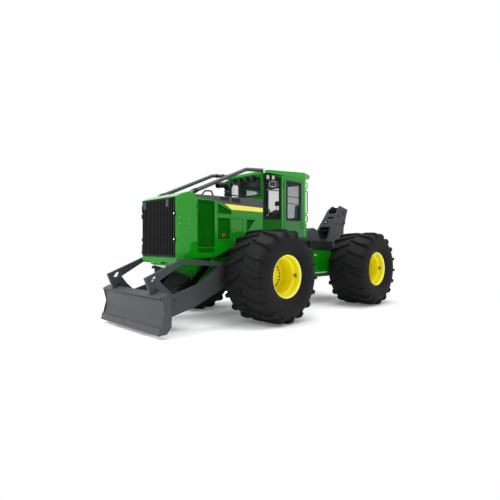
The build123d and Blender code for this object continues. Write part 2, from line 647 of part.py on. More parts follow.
def cab_consoles():
    z = CAB_FLOOR_Z + CAB_FLOOR_THICKNESS
    console = block(320, 480, 1080, 1640, z, z + 420) + upright(22, z + 420, z + 560, 400, 1150)
    dash = block(-300, 300, CAB_FRONT_Y + 55, CAB_FRONT_Y + 190, z, z + 700)
    return both_sides(console) + dash


def brush_guards(hood, deck, roof):
    x = HOOD_HALF_WIDTH - 40
    tube = round_tube([(x, -1430, HOOD_RIDGE_Z - 12), (x, 0, 3145), (x, 560, 3195)], 40, 200)
    return both_sides(tube) - hood - deck - roof


# Blade

def blade_board():
    """The mouldboard: a curved skin with a cutting edge below and a flange along its top."""
    w = BLADE_HALF_WIDTH
    t = BLADE_SKIN
    front = ThreePointArc((-w, -2418, 150), (-w, -2338, 440), (-w, -2395, 680))
    back = ThreePointArc((-w, -2395 + t, 680), (-w, -2338 + t, 440), (-w, -2418 + t, 140))
    outline = [front, Line((-w, -2395, 680), (-w, -2395 + t, 680)), back,
               Line((-w, -2418 + t, 140), (-w, -2418, 150))]
    skin = extrude(make_face(outline), amount=2 * w, dir=(1, 0, 0))
    edge = side_plate([(-2446, 66), (-2428, 190), (-2398, 190), (-2416, 66)], -w, w)
    flange = side_plate([(-2399, 665), (-2399, 688), (-2268, 742), (-2262, 722), (-2380, 672)], -w, w)
    end = [(-2440, 70), (-2300, 76), (-2210, 180), (-2200, 360), (-2250, 728), (-2268, 738), (-2397, 686),
           (-2340, 440), (-2410, 170)]
    ends = both_sides(side_plate(end, w - 25, w))
    return skin + edge + flange + ends


def blade_frame(board):
    x1 = ARM_OUTER_X
    x0 = x1 - ARM_THICKNESS
    outline = [(BLADE_TIP_Y, 985), (-1730, 1290), (-790, 1210), (-420, 1030), (-400, 880), (-810, 670),
               (-1460, 400), (-1940, 280), (-2190, 300), (-2320, 500), (-2375, 690)]
    arm = side_plate(outline, x0, x1)
    arm -= side_plate([(-2357, 935), (-2322, 992), (-2257, 1012), (-2289, 935)], x0 - 1, x1 + 1)
    arm -= side_plate([(-2210, 930), (-1730, 1200), (-910, 1120), (-1350, 820), (-1980, 640)], x0 - 1, x1 + 1)
    arm += cross_bar(110, x0, x1, ARM_PIVOT_Y, ARM_PIVOT_Z)
    arm -= cross_bar(ARM_PIN_RADIUS + PLAY, x0 - 5, x1 + 5, ARM_PIVOT_Y, ARM_PIVOT_Z)
    frame = both_sides(arm)
    frame += cross_bar(75, -x0, x0, -2050, 430)
    y, z = LIFT_FOOT
    for x in (LIFT_X - 40 - GAP - 20, LIFT_X + 40 + GAP):
        ear = side_plate([(-2050, 490), (-2050, 370), (y, z - 55), (y + 55, z), (y, z + 55)], x, x + 20)
        frame += both_sides(ear)
    return frame - board


# Cylinders: made along +Y from the barrel's pin at the origin, the pin along X


def cylinder_pair(reach, gland, bore, rod_radius, inside, pin_radius, eye_half):
    """Barrel and rod of a hydraulic cylinder whose pins are reach apart at rest."""
    outer = bore + 12
    neck = pin_radius + 50
    barrel = Pos(0, (gland + neck) / 2, 0) * Rot(90, 0, 0) * Cylinder(outer, gland - neck)
    barrel += block(-eye_half, eye_half, 0, neck, -0.6 * outer, 0.6 * outer)
    barrel += cross_bar(pin_radius + 22, -eye_half, eye_half, 0, 0)
    floor = neck + 15
    barrel -= Pos(0, (gland + floor) / 2, 0) * Rot(90, 0, 0) * Cylinder(bore, gland - floor)
    barrel -= cross_bar(pin_radius + PLAY, -eye_half - 5, eye_half + 5, 0, 0)
    ring = Pos(0, gland - 20, 0) * Rot(90, 0, 0) * Cylinder(outer + 6, 40)
    ring -= Pos(0, gland - 20, 0) * Rot(90, 0, 0) * Cylinder(rod_radius + PLAY, 60)
    barrel += ring
    start = gland - inside
    end = reach - pin_radius
    rod = Pos(0, (start + end) / 2, 0) * Rot(90, 0, 0) * Cylinder(rod_radius, end - start)
    rod += Pos(0, start + 20, 0) * Rot(90, 0, 0) * Cylinder(bore - PLAY, 40)
    rod += cross_bar(pin_radius + 22, -eye_half, eye_half, reach, 0)
    return barrel, rod


def lift_cylinder():
    """The left lift cylinder's barrel and rod, in place."""
    dy = LIFT_FOOT[0] - LIFT_TOP[0]
    dz = LIFT_FOOT[1] - LIFT_TOP[1]
    reach = hypot(dy, dz)
    pair = cylinder_pair(reach, 0.62 * reach, 48, 26, 0.26 * reach, 32, 40)
    turn = degrees(atan2(dz, dy))
    place = Pos(LIFT_X, LIFT_TOP[0], LIFT_TOP[1]) * Rot(turn, 0, 0)
    return [place * piece for piece in pair]


def steer_cylinder():
    """The left steering cylinder's barrel and rod, in place; its pins stand upright."""
    dx = STEER_BACK[0] - STEER_FRONT[0]
    dy = STEER_BACK[1] - STEER_FRONT[1]
    reach = hypot(dx, dy)
    pair = cylinder_pair(reach, 740, 42, 24, 375, 25, STEER_EYE_HALF)
    turn = degrees(atan2(-dx, dy))
    place = Pos(STEER_FRONT[0], STEER_FRONT[1], STEER_Z) * Rot(0, 0, turn) * Rot(0, 90, 0)
    return [place * piece for piece in pair]


# Rear frame


def rear_chassis():
    w = REAR_HALF_WIDTH
    t = FRAME_PLATE
    inner = w - t
    front = REAR_FRONT_Y
    side = [(front, 1400), (front, 790), (front + 80, 720), (front + 640, 700), (REAR_END_Y, 700),
            (REAR_END_Y, 1400)]
    frame = both_sides(side_plate(side, inner, w))
    frame += block(-inner, inner, front, front + t, 760, 1400)
    frame += block(-inner, inner, REAR_END_Y - t, REAR_END_Y, 700, 1400)
    frame += block(-w, w, front + t, front + 770, 696, 720)
    frame += block(-inner, inner, front + 820, REAR_END_Y, 1376, 1400)
    return frame - axle_notch(WHEELBASE, 500)


def rear_deck():
    """The box on top of the rear frame that carries the winch."""
    w = REAR_HALF_WIDTH + 10
    inner = REAR_HALF_WIDTH - FRAME_PLATE
    y = REAR_FRONT_Y
    deck = block(-w, w, y - 180, y + 860, 1400, 1640)
    return deck - block(-inner, inner, y - 181, y, 1399, PIVOT_LEVELS[1][2] - GAP)


def pivot_lugs_rear():
    front = REAR_FRONT_Y
    inner = REAR_HALF_WIDTH - FRAME_PLATE
    lugs = Part()
    for row in PIVOT_LEVELS:
        z0 = row[1] + GAP
        z1 = row[2] - GAP
        plate = plan_plate(lug_outline(1, inner, front), z0, z1)
        lugs += plate - upright(PIVOT_PIN_RADIUS + PLAY, z0 - 5, z1 + 5, 0, PIVOT_Y)
    outline = [(150, front - 570), (190, front - 570), (215, front - 120), (inner, front), (inner - 60, front),
               (175, front - 90)]
    web = plan_plate(outline, PIVOT_LEVELS[0][1] + GAP, PIVOT_LEVELS[1][2] - GAP)
    lugs += both_sides(web)
    return lugs + both_sides(steer_bracket(STEER_BACK, 150, False))


def winch_housing():
    outer = WINCH_HALF_WIDTH
    case = cross_bar(WINCH_CASE_RADIUS, DRUM_HALF + GAP, outer, WINCH_Y, WINCH_Z)
    case &= block(0, outer + 1, WINCH_Y - 400, WINCH_Y + 400, 1640, 2100)
    foot = block(DRUM_HALF + GAP, outer, WINCH_Y - 250, WINCH_Y + 330, 1640, 1700)
    shaft = cross_bar(40, -DRUM_HALF - GAP, DRUM_HALF + GAP, WINCH_Y, WINCH_Z + 60)
    return both_sides(case + foot) + shaft


def winch_drum():
    y, z = WINCH_Y, WINCH_Z + 60
    drum = cross_bar(70, -DRUM_HALF, DRUM_HALF, y, z)
    for x in (-DRUM_HALF, DRUM_HALF - 20):
        drum += cross_bar(115, x, x + 20, y, z)
    return drum - cross_bar(40 + PLAY, -DRUM_HALF - 5, DRUM_HALF + 5, y, z)


# The fairlead: one level roller low in the arch's mouth and two upright ones over it
LEVEL_ROLLER = (4385, 2200, 46)
UPRIGHT_ROLLER = (72, 4440, 36)
UPRIGHT_ROLLER_Z = (2290, 2530)
ROLLER_PIN = 18


def arch_half(z):
    """Half the arch's width over its plates at height z."""
    return ARCH_FOOT_HALF - (z - ARCH_FOOT_Z) * sin(radians(ARCH_LEAN))


def fairlead_arch():
    side = [(3425, 1400), (3490, 1730), (3820, 2180), (4125, 2590), (4280, 2700), (ARCH_BACK_Y, 2610),
            (4370, 2060), (4310, 1830), (4250, 1400)]
    flat = side_plate(side, -ARCH_PLATE, 0)
    hinge = Pos(ARCH_FOOT_HALF, 0, ARCH_FOOT_Z)
    leaning = hinge * Rot(0, -ARCH_LEAN, 0) * Pos(0, 0, -ARCH_FOOT_Z) * flat
    leaning -= block(0, 400, 3300, 4400, ARCH_FOOT_Z - 50, ARCH_FOOT_Z)
    arch = both_sides(leaning)
    # The sloping plate between the two, with the cable's mouth and a lightening hole, and a cap over its top
    cross = [(3640, 1950), (4105, 2565), (4135, 2542), (3670, 1930)]
    half = arch_half(2580) - 10
    foot = arch_half(1930) - 10
    slope = [(half, 2580), (foot, 1930), (-foot, 1930), (-half, 2580)]
    plate = side_plate(cross, -300, 300) & front_plate(slope, 3000, 5000)
    plate -= front_plate([(-75, 2460), (75, 2460), (75, 2530), (-75, 2530)], 3900, 4300)
    arch += plate - Pos(-40, 3830, 2200) * Rot(90, 0, 0) * Cylinder(38, 200)
    half = arch_half(2620) - 10
    arch += side_plate([(4105, 2545), (4125, 2590), (4290, 2640), (4300, 2612), (4140, 2560)], -half, half)
    arch += block(-200, 200, 4100, 4140, 1700, 2100)
    y, z, radius = LEVEL_ROLLER
    half = arch_half(z) - 5
    arch += cross_bar(ROLLER_PIN, -half, half, y, z)
    x, y, radius = UPRIGHT_ROLLER
    low, high = UPRIGHT_ROLLER_Z
    for z0, z1 in ((low - GAP - 20, low - GAP), (high + GAP, high + GAP + 20)):
        half = arch_half(z1) - 10
        arch += block(-half, half, y - 55, y + 55, z0, z1)
    arch += both_sides(upright(ROLLER_PIN, low - GAP - 5, high + GAP + 5, x, y))
    return arch


def level_roller():
    y, z, radius = LEVEL_ROLLER
    half = arch_half(z + radius) - ARCH_PLATE - 3 * GAP
    return cross_bar(radius, -half, half, y, z) - cross_bar(ROLLER_PIN + PLAY, -half - 1, half + 1, y, z)


def upright_roller():
    x, y, radius = UPRIGHT_ROLLER
    low, high = UPRIGHT_ROLLER_Z
    return upright(radius, low, high, x, y) - upright(ROLLER_PIN + PLAY, low - 1, high + 1, x, y)


def butt_plate():
    return block(-620, 620, REAR_END_Y, REAR_END_Y + 40, 600, 1400)


def drawbar():
    y = REAR_END_Y + 40
    z = DRAWBAR_Z - DRAWBAR_THICKNESS
    plate = block(-100, 100, y, y + 80, z, DRAWBAR_Z) + upright(100, z, DRAWBAR_Z, 0, y + 80)
    plate -= block(-101, 101, y - 101, y, z - 1, DRAWBAR_Z + 1)
    return plate - upright(HITCH_HOLE_RADIUS, z - 1, DRAWBAR_Z + 1, 0, y + 90)


def write_parts(pieces):
    os.makedirs("parts", exist_ok=True)
    for name, piece in pieces.items():
        export_step(Pos(0, -ORIGIN_Y, 0) * piece, f"parts/{name}.step")


def build():
    chassis = front_chassis()
    hood = hood_shell()
    deck = hood_deck()
    roof = cab_roof()
    board = blade_board()
    pieces = {
        "front_chassis": chassis,
        "hood_mounts": hood_mounts(chassis),
        "pivot_lugs_front": pivot_lugs_front(),
        "arm_pivots": arm_pivots(),
        "lift_anchors": lift_anchors(),
        "steer_anchors": both_sides(steer_bracket(STEER_FRONT, FRAME_HALF_WIDTH, True)),
        "front_axle": axle(0),
        "tow_plate": tow_plate(),
        "engine_block": engine_block(),
        "hood_shell": hood,
        "hood_deck": deck,
        "exhaust_stack": exhaust_stack(deck),
        "grille_door": grille_door(),
        "cab_floor": cab_floor(),
        "cab_shell": cab_shell(),
        "cab_back_box": cab_back_box(),
        "cab_glass": cab_glass(),
        "cab_roof": roof,
        "cab_seat": cab_seat(),
        "cab_consoles": cab_consoles(),
        "cab_steps": cab_steps(),
        "handrails": handrails(),
        "work_lights": work_lights(),
        "brush_guards": brush_guards(hood, deck, roof),
        "blade_board": board,
        "blade_frame": blade_frame(board),
        "rear_chassis": rear_chassis(),
        "rear_deck": rear_deck(),
        "pivot_lugs_rear": pivot_lugs_rear(),
        "rear_axle": axle(WHEELBASE),
        "winch_housing": winch_housing(),
        "winch_drum": winch_drum(),
        "fairlead_arch": fairlead_arch(),
        "fairlead_roller_level": level_roller(),
        "butt_plate": butt_plate(),
        "drawbar": drawbar(),
    }
    lift = lift_cylinder()
    steer = steer_cylinder()
    # Left-hand pieces, and their mirror images on the right
    left_hand = {
        "screen_door": screen_door(),
        "cab_door": cab_door(),
        "door_glass": door_glass(),
        "lift_barrel": lift[0],
        "lift_rod": lift[1],
        "steer_barrel": steer[0],
        "steer_rod": steer[1],
        "fairlead_roller_upright": upright_roller(),
    }
    for name, piece in left_hand.items():
        pieces[name + "_left"] = piece
        pieces[name + "_right"] = other_side(piece)
    wheel = {"tyre": tyre(), "rim": rim()}
    for end, y in (("front", 0), ("rear", WHEELBASE)):
        for hand, side in (("left", 1), ("right", -1)):
            for kind, piece in wheel.items():
                pieces[f"{kind}_{end}_{hand}"] = place_wheel(piece, side, y)
    write_parts(pieces)


build()
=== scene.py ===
# %% [markdown]
# # A cable skidder, dressed
#
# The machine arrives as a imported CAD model: every plate, wheel and cylinder is in its place and rides on
# the body that moves it. This lesson gives those plates soft edges and real finishes, swaps the tyres and
# rims for finer ones, and adds the small things that the CAD leaves out. Metres, +Z up, front towards -Y,
# and +X is the machine's left side.

# %% Load the frame
import functools
import math

import bmesh
import bpy
from mathutils import Matrix, Vector
from mathutils.geometry import interpolate_bezier


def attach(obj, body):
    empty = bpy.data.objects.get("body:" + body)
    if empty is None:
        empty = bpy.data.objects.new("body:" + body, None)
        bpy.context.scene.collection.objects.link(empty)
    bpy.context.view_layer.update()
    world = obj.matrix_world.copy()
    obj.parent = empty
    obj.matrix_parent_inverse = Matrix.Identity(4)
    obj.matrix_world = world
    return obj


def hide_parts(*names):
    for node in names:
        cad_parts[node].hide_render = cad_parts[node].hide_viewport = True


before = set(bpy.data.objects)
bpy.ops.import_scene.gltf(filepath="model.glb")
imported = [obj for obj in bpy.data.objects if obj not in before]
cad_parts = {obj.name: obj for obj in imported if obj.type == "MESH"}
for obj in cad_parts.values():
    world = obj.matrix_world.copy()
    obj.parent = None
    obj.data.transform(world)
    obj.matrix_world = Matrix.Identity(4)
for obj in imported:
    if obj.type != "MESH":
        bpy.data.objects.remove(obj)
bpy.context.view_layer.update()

# %% [markdown]
# The front axle is a natural place to measure from, so places along the machine are given from there and
# turned into the frame's own y. Both hands of the machine are alike, so most pieces are made twice.

# %% Places on the machine
AXLE_Y = -1.095
WHEELBASE = 3.525
HALF_TRACK = 1.285
TYRE_RADIUS = 0.93
SIDES = (("left", 1), ("right", -1))
WHEELS = [(end, hand, sign, y) for end, y in (("front", 0.0), ("rear", WHEELBASE)) for hand, sign in SIDES]


def from_axle(y):
    """The frame's y of a place given from the front axle."""
    return y + AXLE_Y


# %% [markdown]
# ## Writing a finish as sums
#
# A material is a net of nodes, but its idea is usually a formula: dust grows towards the ground, edges are
# a little rougher. Wrapping a socket in a small class lets those formulas be written as Python sums, and
# each sum quietly adds its Math node.

# %% A socket that can be added and multiplied
class Wire:
    """One output of a material's nodes. Sums on it add Math nodes; node() adds any other."""

    def __init__(self, tree, socket=None):
        self.tree = tree
        self.socket = socket

    def node(self, kind, settings=None, inputs=None, output=0):
        """A new node: its settings are set first, then its sockets get values or wires."""
        made = self.tree.nodes.new("ShaderNode" + kind)
        for name, value in (settings or {}).items():
            setattr(made, name, value)
        for name, value in (inputs or {}).items():
            feed(self.tree, made.inputs[name], value)
        return Wire(self.tree, made.outputs[output])

    def math(self, operation, first, second=0.0):
        return self.node("Math", {"operation": operation}, {0: first, 1: second})

    def __add__(self, other):
        return self.math("ADD", self, other)

    __radd__ = __add__

    def __sub__(self, other):
        return self.math("SUBTRACT", self, other)

    def __rsub__(self, other):
        return self.math("SUBTRACT", other, self)

    def __mul__(self, other):
        return self.math("MULTIPLY", self, other)

    __rmul__ = __mul__

    def limited(self):
        return self.node("Clamp", {}, {"Value": self})


def feed(tree, socket, value):
    """Gives a socket a plain value or a wire."""
    if isinstance(value, Wire):
        tree.links.new(value.socket, socket)
    else:
        socket.default_value = value


# %% [markdown]
# ## Tools for every finish
#
# Each finish starts from the Principled shader. Object coordinates are the frame's own metres here, because
# every object sits at the origin, so a noise of scale 40 has lumps of about 25 mm on every piece.

# %% Start a finish and set it
def new_finish(name):
    """A material, its Principled shader and a wire of Object coordinates."""
    material = bpy.data.materials.new(name)
    material.use_nodes = True
    tree = material.node_tree
    place = Wire(tree).node("TexCoord", output="Object")
    return material, tree.nodes["Principled BSDF"], place


def set_shader(shader, **sockets):
    """Sets sockets of the shader; an underscore in a name stands for a space."""
    for name, value in sockets.items():
        feed(shader.id_data, shader.inputs[name.replace("_", " ")], value)


def grey_noise(place, scale, detail=3.0, roughness=0.55):
    inputs = {"Vector": place, "Scale": scale, "Detail": detail, "Roughness": roughness}
    return place.node("TexNoise", {}, inputs)


def with_alpha(colour):
    """Three numbers get their alpha; a wire stays as it is."""
    return colour if isinstance(colour, Wire) else (*colour, 1.0)


def tint(place, amount, first, second):
    """A colour between two, by a wire from 0 to 1."""
    inputs = {"Factor": amount, "A": with_alpha(first), "B": with_alpha(second)}
    return place.node("Mix", {"data_type": "RGBA"}, inputs, output=2)


def scaled(colour, share):
    return tuple(share * c for c in colour)


def bumped(place, height, strength, distance=0.01):
    return place.node("Bump", {}, {"Height": height, "Strength": strength, "Distance": distance})


def height_of(place):
    return place.node("SeparateXYZ", {}, {"Vector": place}, output="Z")


def road_dust(place, top):
    """Where dust gathers: full at the ground, none above top metres, broken up by noise."""
    low = 1.0 - height_of(place) * (1.0 / top)
    return ((low + 0.8 * grey_noise(place, 9.0) - 0.75) * 1.2).limited()


# %% [markdown]
# ## Paint
#
# The panels are sprayed steel. Fresh paint is a strong, even colour under a clear coat: the coat's faint
# orange-peel ripple shows only in reflections, so it goes into the bump, and the pigment varies by a hair.
# The same recipe serves the green panels, the yellow rims and the charcoal arms, with the arms much duller.
# Panels that face the dark side of the studio get a deeper green, a painted shade. Hollows, openings and the
# lift barrels get a black that reflects nothing, a painted shade for the dark inside them.

# %% Sprayed paint
ROAD_DUST = (0.30, 0.27, 0.22)
TREAD_DUST = (0.20, 0.18, 0.15)


def paint(name, colour, roughness, coat, ripple=0.03, dust_top=0.9, dust=0.10, worn=0.0, shine=0.5):
    """Sprayed steel: ripple is the orange peel, dust and worn are how dirty and how rubbed it gets."""
    material, shader, place = new_finish(name)
    cloud = grey_noise(place, 2.2)
    light = tuple(min(1.0, 1.06 * c + 0.002) for c in colour)
    dirty = road_dust(place, dust_top) * dust
    base = tint(place, cloud, scaled(colour, 0.90), light)
    dusty = tint(place, dirty, base, ROAD_DUST)
    grain = grey_noise(place, 55.0, 2.0)
    rough = roughness + 0.06 * grain + dirty * 0.8 + worn * grey_noise(place, 16.0)
    peel = grey_noise(place, 260.0, 1.0)
    set_shader(shader, Base_Color=dusty, Roughness=rough.limited(), Coat_Weight=coat, Coat_Roughness=0.04)
    set_shader(shader, Normal=bumped(place, peel, ripple, 0.002), Specular_IOR_Level=shine)
    return material


GREEN = paint("sprayed_green", (0.001, 0.245, 0.001), 0.45, 0.85, dust=0.06, shine=0.05)
# Fine mesh: a darker green for the perforated sheet, partly painted shade for the dark inside seen through
# its holes
MESH_SHADE_GREEN = paint("green_mesh_and_painted_shade", (0.001, 0.100, 0.001), 0.70, 0.0, dust=0.0, shine=0.03)
YELLOW = paint("sprayed_yellow", (0.88, 0.76, 0.002), 0.35, 0.6, dust=0.04, shine=0.1)
SHADED_GREEN = paint("shaded_green", (0.001, 0.120, 0.002), 0.50, 0.15, dust=0.03, shine=0.03)
# A lighter green for the beads on the cab's pillars: a painted highlight
HIGHLIGHT_BEAD_GREEN = paint("bead_painted_highlight", (0.030, 0.420, 0.030), 0.40, 0.85, dust=0.0, shine=0.1)
# A darker copy of the green for the doors: painted shade, as the doors carry the same paint as the cab
DOOR_SHADE_GREEN = paint("door_green", (0.010, 0.150, 0.018), 0.45, 0.85, dust=0.06, shine=0.05)
# A pale yellow for each rim's outer lip: a painted highlight
LIP_HIGHLIGHT_YELLOW = paint("rim_lip_painted_highlight", (0.98, 0.97, 0.26), 0.35, 0.8, dust=0.0)
BRONZE = paint("bronze_paint", (0.24, 0.17, 0.09), 0.45, 0.1)
CHARCOAL = paint("charcoal_paint", (0.042, 0.049, 0.052), 0.50, 0.06, 0.06, 0.6, worn=0.10, shine=0.3)
ARM_GREY = paint("arm_paint", (0.037, 0.043, 0.046), 0.50, 0.06, 0.06, 0.6, worn=0.10, shine=0.3)
ARCH_GREY = paint("arch_paint", (0.045, 0.050, 0.053), 0.55, 0.03, 0.08, 0.6, worn=0.12, shine=0.25)
# Painted shade: the arch's sloping face is darker than the rest of the arch, though it faces up towards the
# lamps
SLOPE_SHADE_GREY = paint("slope_painted_shade", (0.030, 0.034, 0.037), 0.60, 0.0, 0.08, dust=0.03, shine=0.10)
DARK_DECK = paint("deck_coating", (0.060, 0.056, 0.060), 0.60, 0.0, 0.25, worn=0.12)
STRIPE_YELLOW = paint("stripe_yellow", (0.93, 0.86, 0.13), 0.40, 0.4, dust=0.0, shine=0.1)
# Painted shade for the rear deck and the inner faces of the blade's end plates
SHADE_GREY = paint("shaded_paint", (0.012, 0.014, 0.015), 0.6, 0.0, 0.08, dust=0.03, shine=0.12)
# Painted shade: a black with no reflection for the lift barrels, the arch's cap and the dark films over the
# arch's openings
SHADE_BLACK = paint("painted_shade_black", (0.001, 0.001, 0.001), 0.9, 0.0, dust=0.0, shine=0.0)
SATIN_BLACK = paint("satin_black", (0.005, 0.005, 0.006), 0.45, 0.02, ripple=0.05, shine=0.18)
print("paints:", [m.name for m in (GREEN, MESH_SHADE_GREEN, YELLOW, CHARCOAL, ARCH_GREY, DARK_DECK, SATIN_BLACK)])

# %% [markdown]
# ## Rubber
#
# Tyre rubber is nearly black but never shiny. Its tone is mottled a little, fine grain breaks up its
# highlights, and pale dust settles low on the tyre, towards the ground.

# %% Tyre rubber
def tyre_rubber():
    material, shader, place = new_finish("tyre_rubber")
    cloud = grey_noise(place, 3.0)
    mottled = tint(place, cloud, (0.0055, 0.0055, 0.006), (0.0105, 0.0105, 0.011))
    dirty = road_dust(place, 0.45) * 0.06
    dusty = tint(place, dirty, mottled, TREAD_DUST)
    grain = grey_noise(place, 180.0, 4.0)
    set_shader(shader, Base_Color=dusty, Roughness=(0.62 + 0.16 * grain).limited())
    set_shader(shader, Normal=bumped(place, grain, 0.18, 0.004), Specular_IOR_Level=0.14)
    return material


RUBBER = tyre_rubber()


# %% [markdown]
# ## Bare metal, cast metal, plastic, glass and cloth
#
# The rest of the finishes are smaller cousins: brushed steel has grain drawn out along one direction, cast
# metal is lumpy, moulded plastic is finely pebbled, and the window glass is a clear sheet with a faint tint
# that lets most light through.

# %% Brushed steel and cast iron
def brushed_steel(name, colour, along):
    material, shader, place = new_finish(name)
    stretched = place.node("Mapping", {}, {"Vector": place, "Scale": along})
    streaks = grey_noise(stretched, 90.0, 4.0)
    set_shader(shader, Base_Color=tint(place, streaks, scaled(colour, 0.75), colour))
    set_shader(shader, Metallic=1.0, Roughness=(0.20 + 0.16 * streaks).limited())
    set_shader(shader, Normal=bumped(place, streaks, 0.05, 0.001))
    return material


def cast_iron():
    material, shader, place = new_finish("cast_iron")
    lumps = grey_noise(place, 70.0, 5.0)
    set_shader(shader, Base_Color=tint(place, lumps, (0.05, 0.052, 0.055), (0.10, 0.10, 0.105)))
    set_shader(shader, Roughness=(0.55 + 0.2 * lumps).limited(), Metallic=0.3)
    set_shader(shader, Normal=bumped(place, lumps, 0.3, 0.003))
    return material


STEEL = brushed_steel("ground_steel", (0.62, 0.62, 0.64), (1.0, 12.0, 12.0))
CHROME = brushed_steel("cylinder_rod_chrome", (0.80, 0.80, 0.82), (6.0, 1.0, 1.0))
IRON = cast_iron()


# %% Moulded plastic, cloth and glass
def pebbled_plastic(name, colour, roughness=0.5, shine=0.5):
    material, shader, place = new_finish(name)
    pebbles = place.node("TexVoronoi", {}, {"Vector": place, "Scale": 420.0})
    set_shader(shader, Base_Color=tint(place, grey_noise(place, 8.0), scaled(colour, 0.85), colour))
    set_shader(shader, Roughness=(roughness + 0.1 * grey_noise(place, 30.0)).limited())
    set_shader(shader, Normal=bumped(place, pebbles, 0.12, 0.001), Specular_IOR_Level=shine)
    return material


def seat_cloth():
    material, shader, place = new_finish("seat_cloth")
    threads = {"Vector": place, "Scale": 120.0, "Distortion": 0.6}
    weave = place.node("TexWave", {"bands_direction": "X"}, threads)
    cross = place.node("TexWave", {"bands_direction": "Z"}, threads)
    thread = weave * cross
    set_shader(shader, Base_Color=tint(place, thread, (0.016, 0.017, 0.020), (0.060, 0.060, 0.068)))
    set_shader(shader, Roughness=(0.8 + 0.1 * thread).limited(), Normal=bumped(place, thread, 0.35, 0.002))
    set_shader(shader, Sheen_Weight=0.3)
    return material


def window_glass(name, density):
    """A dark tint that holds back a share of the light, and only a faint reflection."""
    material, shader, place = new_finish(name)
    smears = grey_noise(place, 5.0)
    set_shader(shader, Base_Color=tint(place, smears, (0.020, 0.060, 0.050), (0.030, 0.090, 0.075)))
    set_shader(shader, Roughness=0.03, Alpha=(density + 0.04 * smears).limited(), Specular_IOR_Level=0.06)
    return material


BLACK_PLASTIC = pebbled_plastic("black_plastic", (0.006, 0.006, 0.007), shine=0.2)
GREY_PLASTIC = pebbled_plastic("grey_plastic", (0.10, 0.10, 0.11))
RED_PLASTIC = pebbled_plastic("red_plastic", (0.30, 0.008, 0.020), 0.35)
AMBER = pebbled_plastic("amber_lens", (0.75, 0.16, 0.01), 0.2)
WHITE_PLASTIC = pebbled_plastic("white_plastic", (0.75, 0.75, 0.73), 0.3)
SEAL_GREY = pebbled_plastic("seal_grey", (0.008, 0.017, 0.015), shine=0.15)
CREAM = paint("cream_paint", (0.62, 0.60, 0.40), 0.4, 0.2)
PALE_LENS = pebbled_plastic("lamp_lens", (0.52, 0.46, 0.47), 0.12)
LAMP_GREY = pebbled_plastic("shaded_lamp", (0.060, 0.068, 0.100), 0.4)
CLOTH = seat_cloth()
GLASS = window_glass("window_glass", 0.10)
DOOR_GLASS = window_glass("door_glass", 0.30)

# %% [markdown]
# ## Softening the plates
#
# A CAD edge is perfectly sharp, and nothing real is. The fixed frame itself is left alone: a copy of each
# node is welded into one skin, its flat triangles are dissolved back into whole faces, and a Bevel modifier
# rounds what is left. Hardened normals keep the flats flat, so only the rounded strip catches the light.

# %% A soft-edged copy of a CAD node
def as_mesh(name, work):
    """Keeps a bmesh as a mesh."""
    mesh = bpy.data.meshes.new(name)
    work.to_mesh(mesh)
    work.free()
    return mesh


def placed(name, data):
    """A new object in the scene."""
    thing = bpy.data.objects.new(name, data)
    bpy.context.scene.collection.objects.link(thing)
    return thing


def as_object(name, work, finish, body, smooth=True):
    """Turns a bmesh into a named piece that rides on a body."""
    mesh = as_mesh(name, work)
    piece = placed(name, mesh)
    mesh.materials.append(finish)
    if smooth:
        mesh.shade_smooth()
        mesh.set_sharp_from_angle(angle=math.radians(32))
    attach(piece, body)
    return piece


def round_edges(piece, width, angle=40):
    """Rounds the edges that turn by more than an angle."""
    rounding = piece.modifiers.new("rounded_edges", "BEVEL")
    rounding.width = width
    rounding.segments = 2
    rounding.limit_method = "ANGLE"
    rounding.angle_limit = math.radians(angle)
    rounding.use_clamp_overlap = True
    rounding.harden_normals = True


def softened(node, finish, body, width):
    """A copy of a CAD node with rounded edges, which stands for it."""
    work = bmesh.new()
    work.from_mesh(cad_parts[node].data)
    bmesh.ops.remove_doubles(work, verts=work.verts, dist=0.00002)
    bmesh.ops.dissolve_limit(work, angle_limit=math.radians(0.2), verts=work.verts, edges=work.edges)
    piece = as_object("soft_" + node, work, finish, body)
    round_edges(piece, width, 35)
    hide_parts(node)
    return piece


# %% [markdown]
# The table says which node gets which paint and how round its edges are: 4 to 6 mm on thick plates, 2 mm on
# thin panels. What moves on its own rides on its own body.

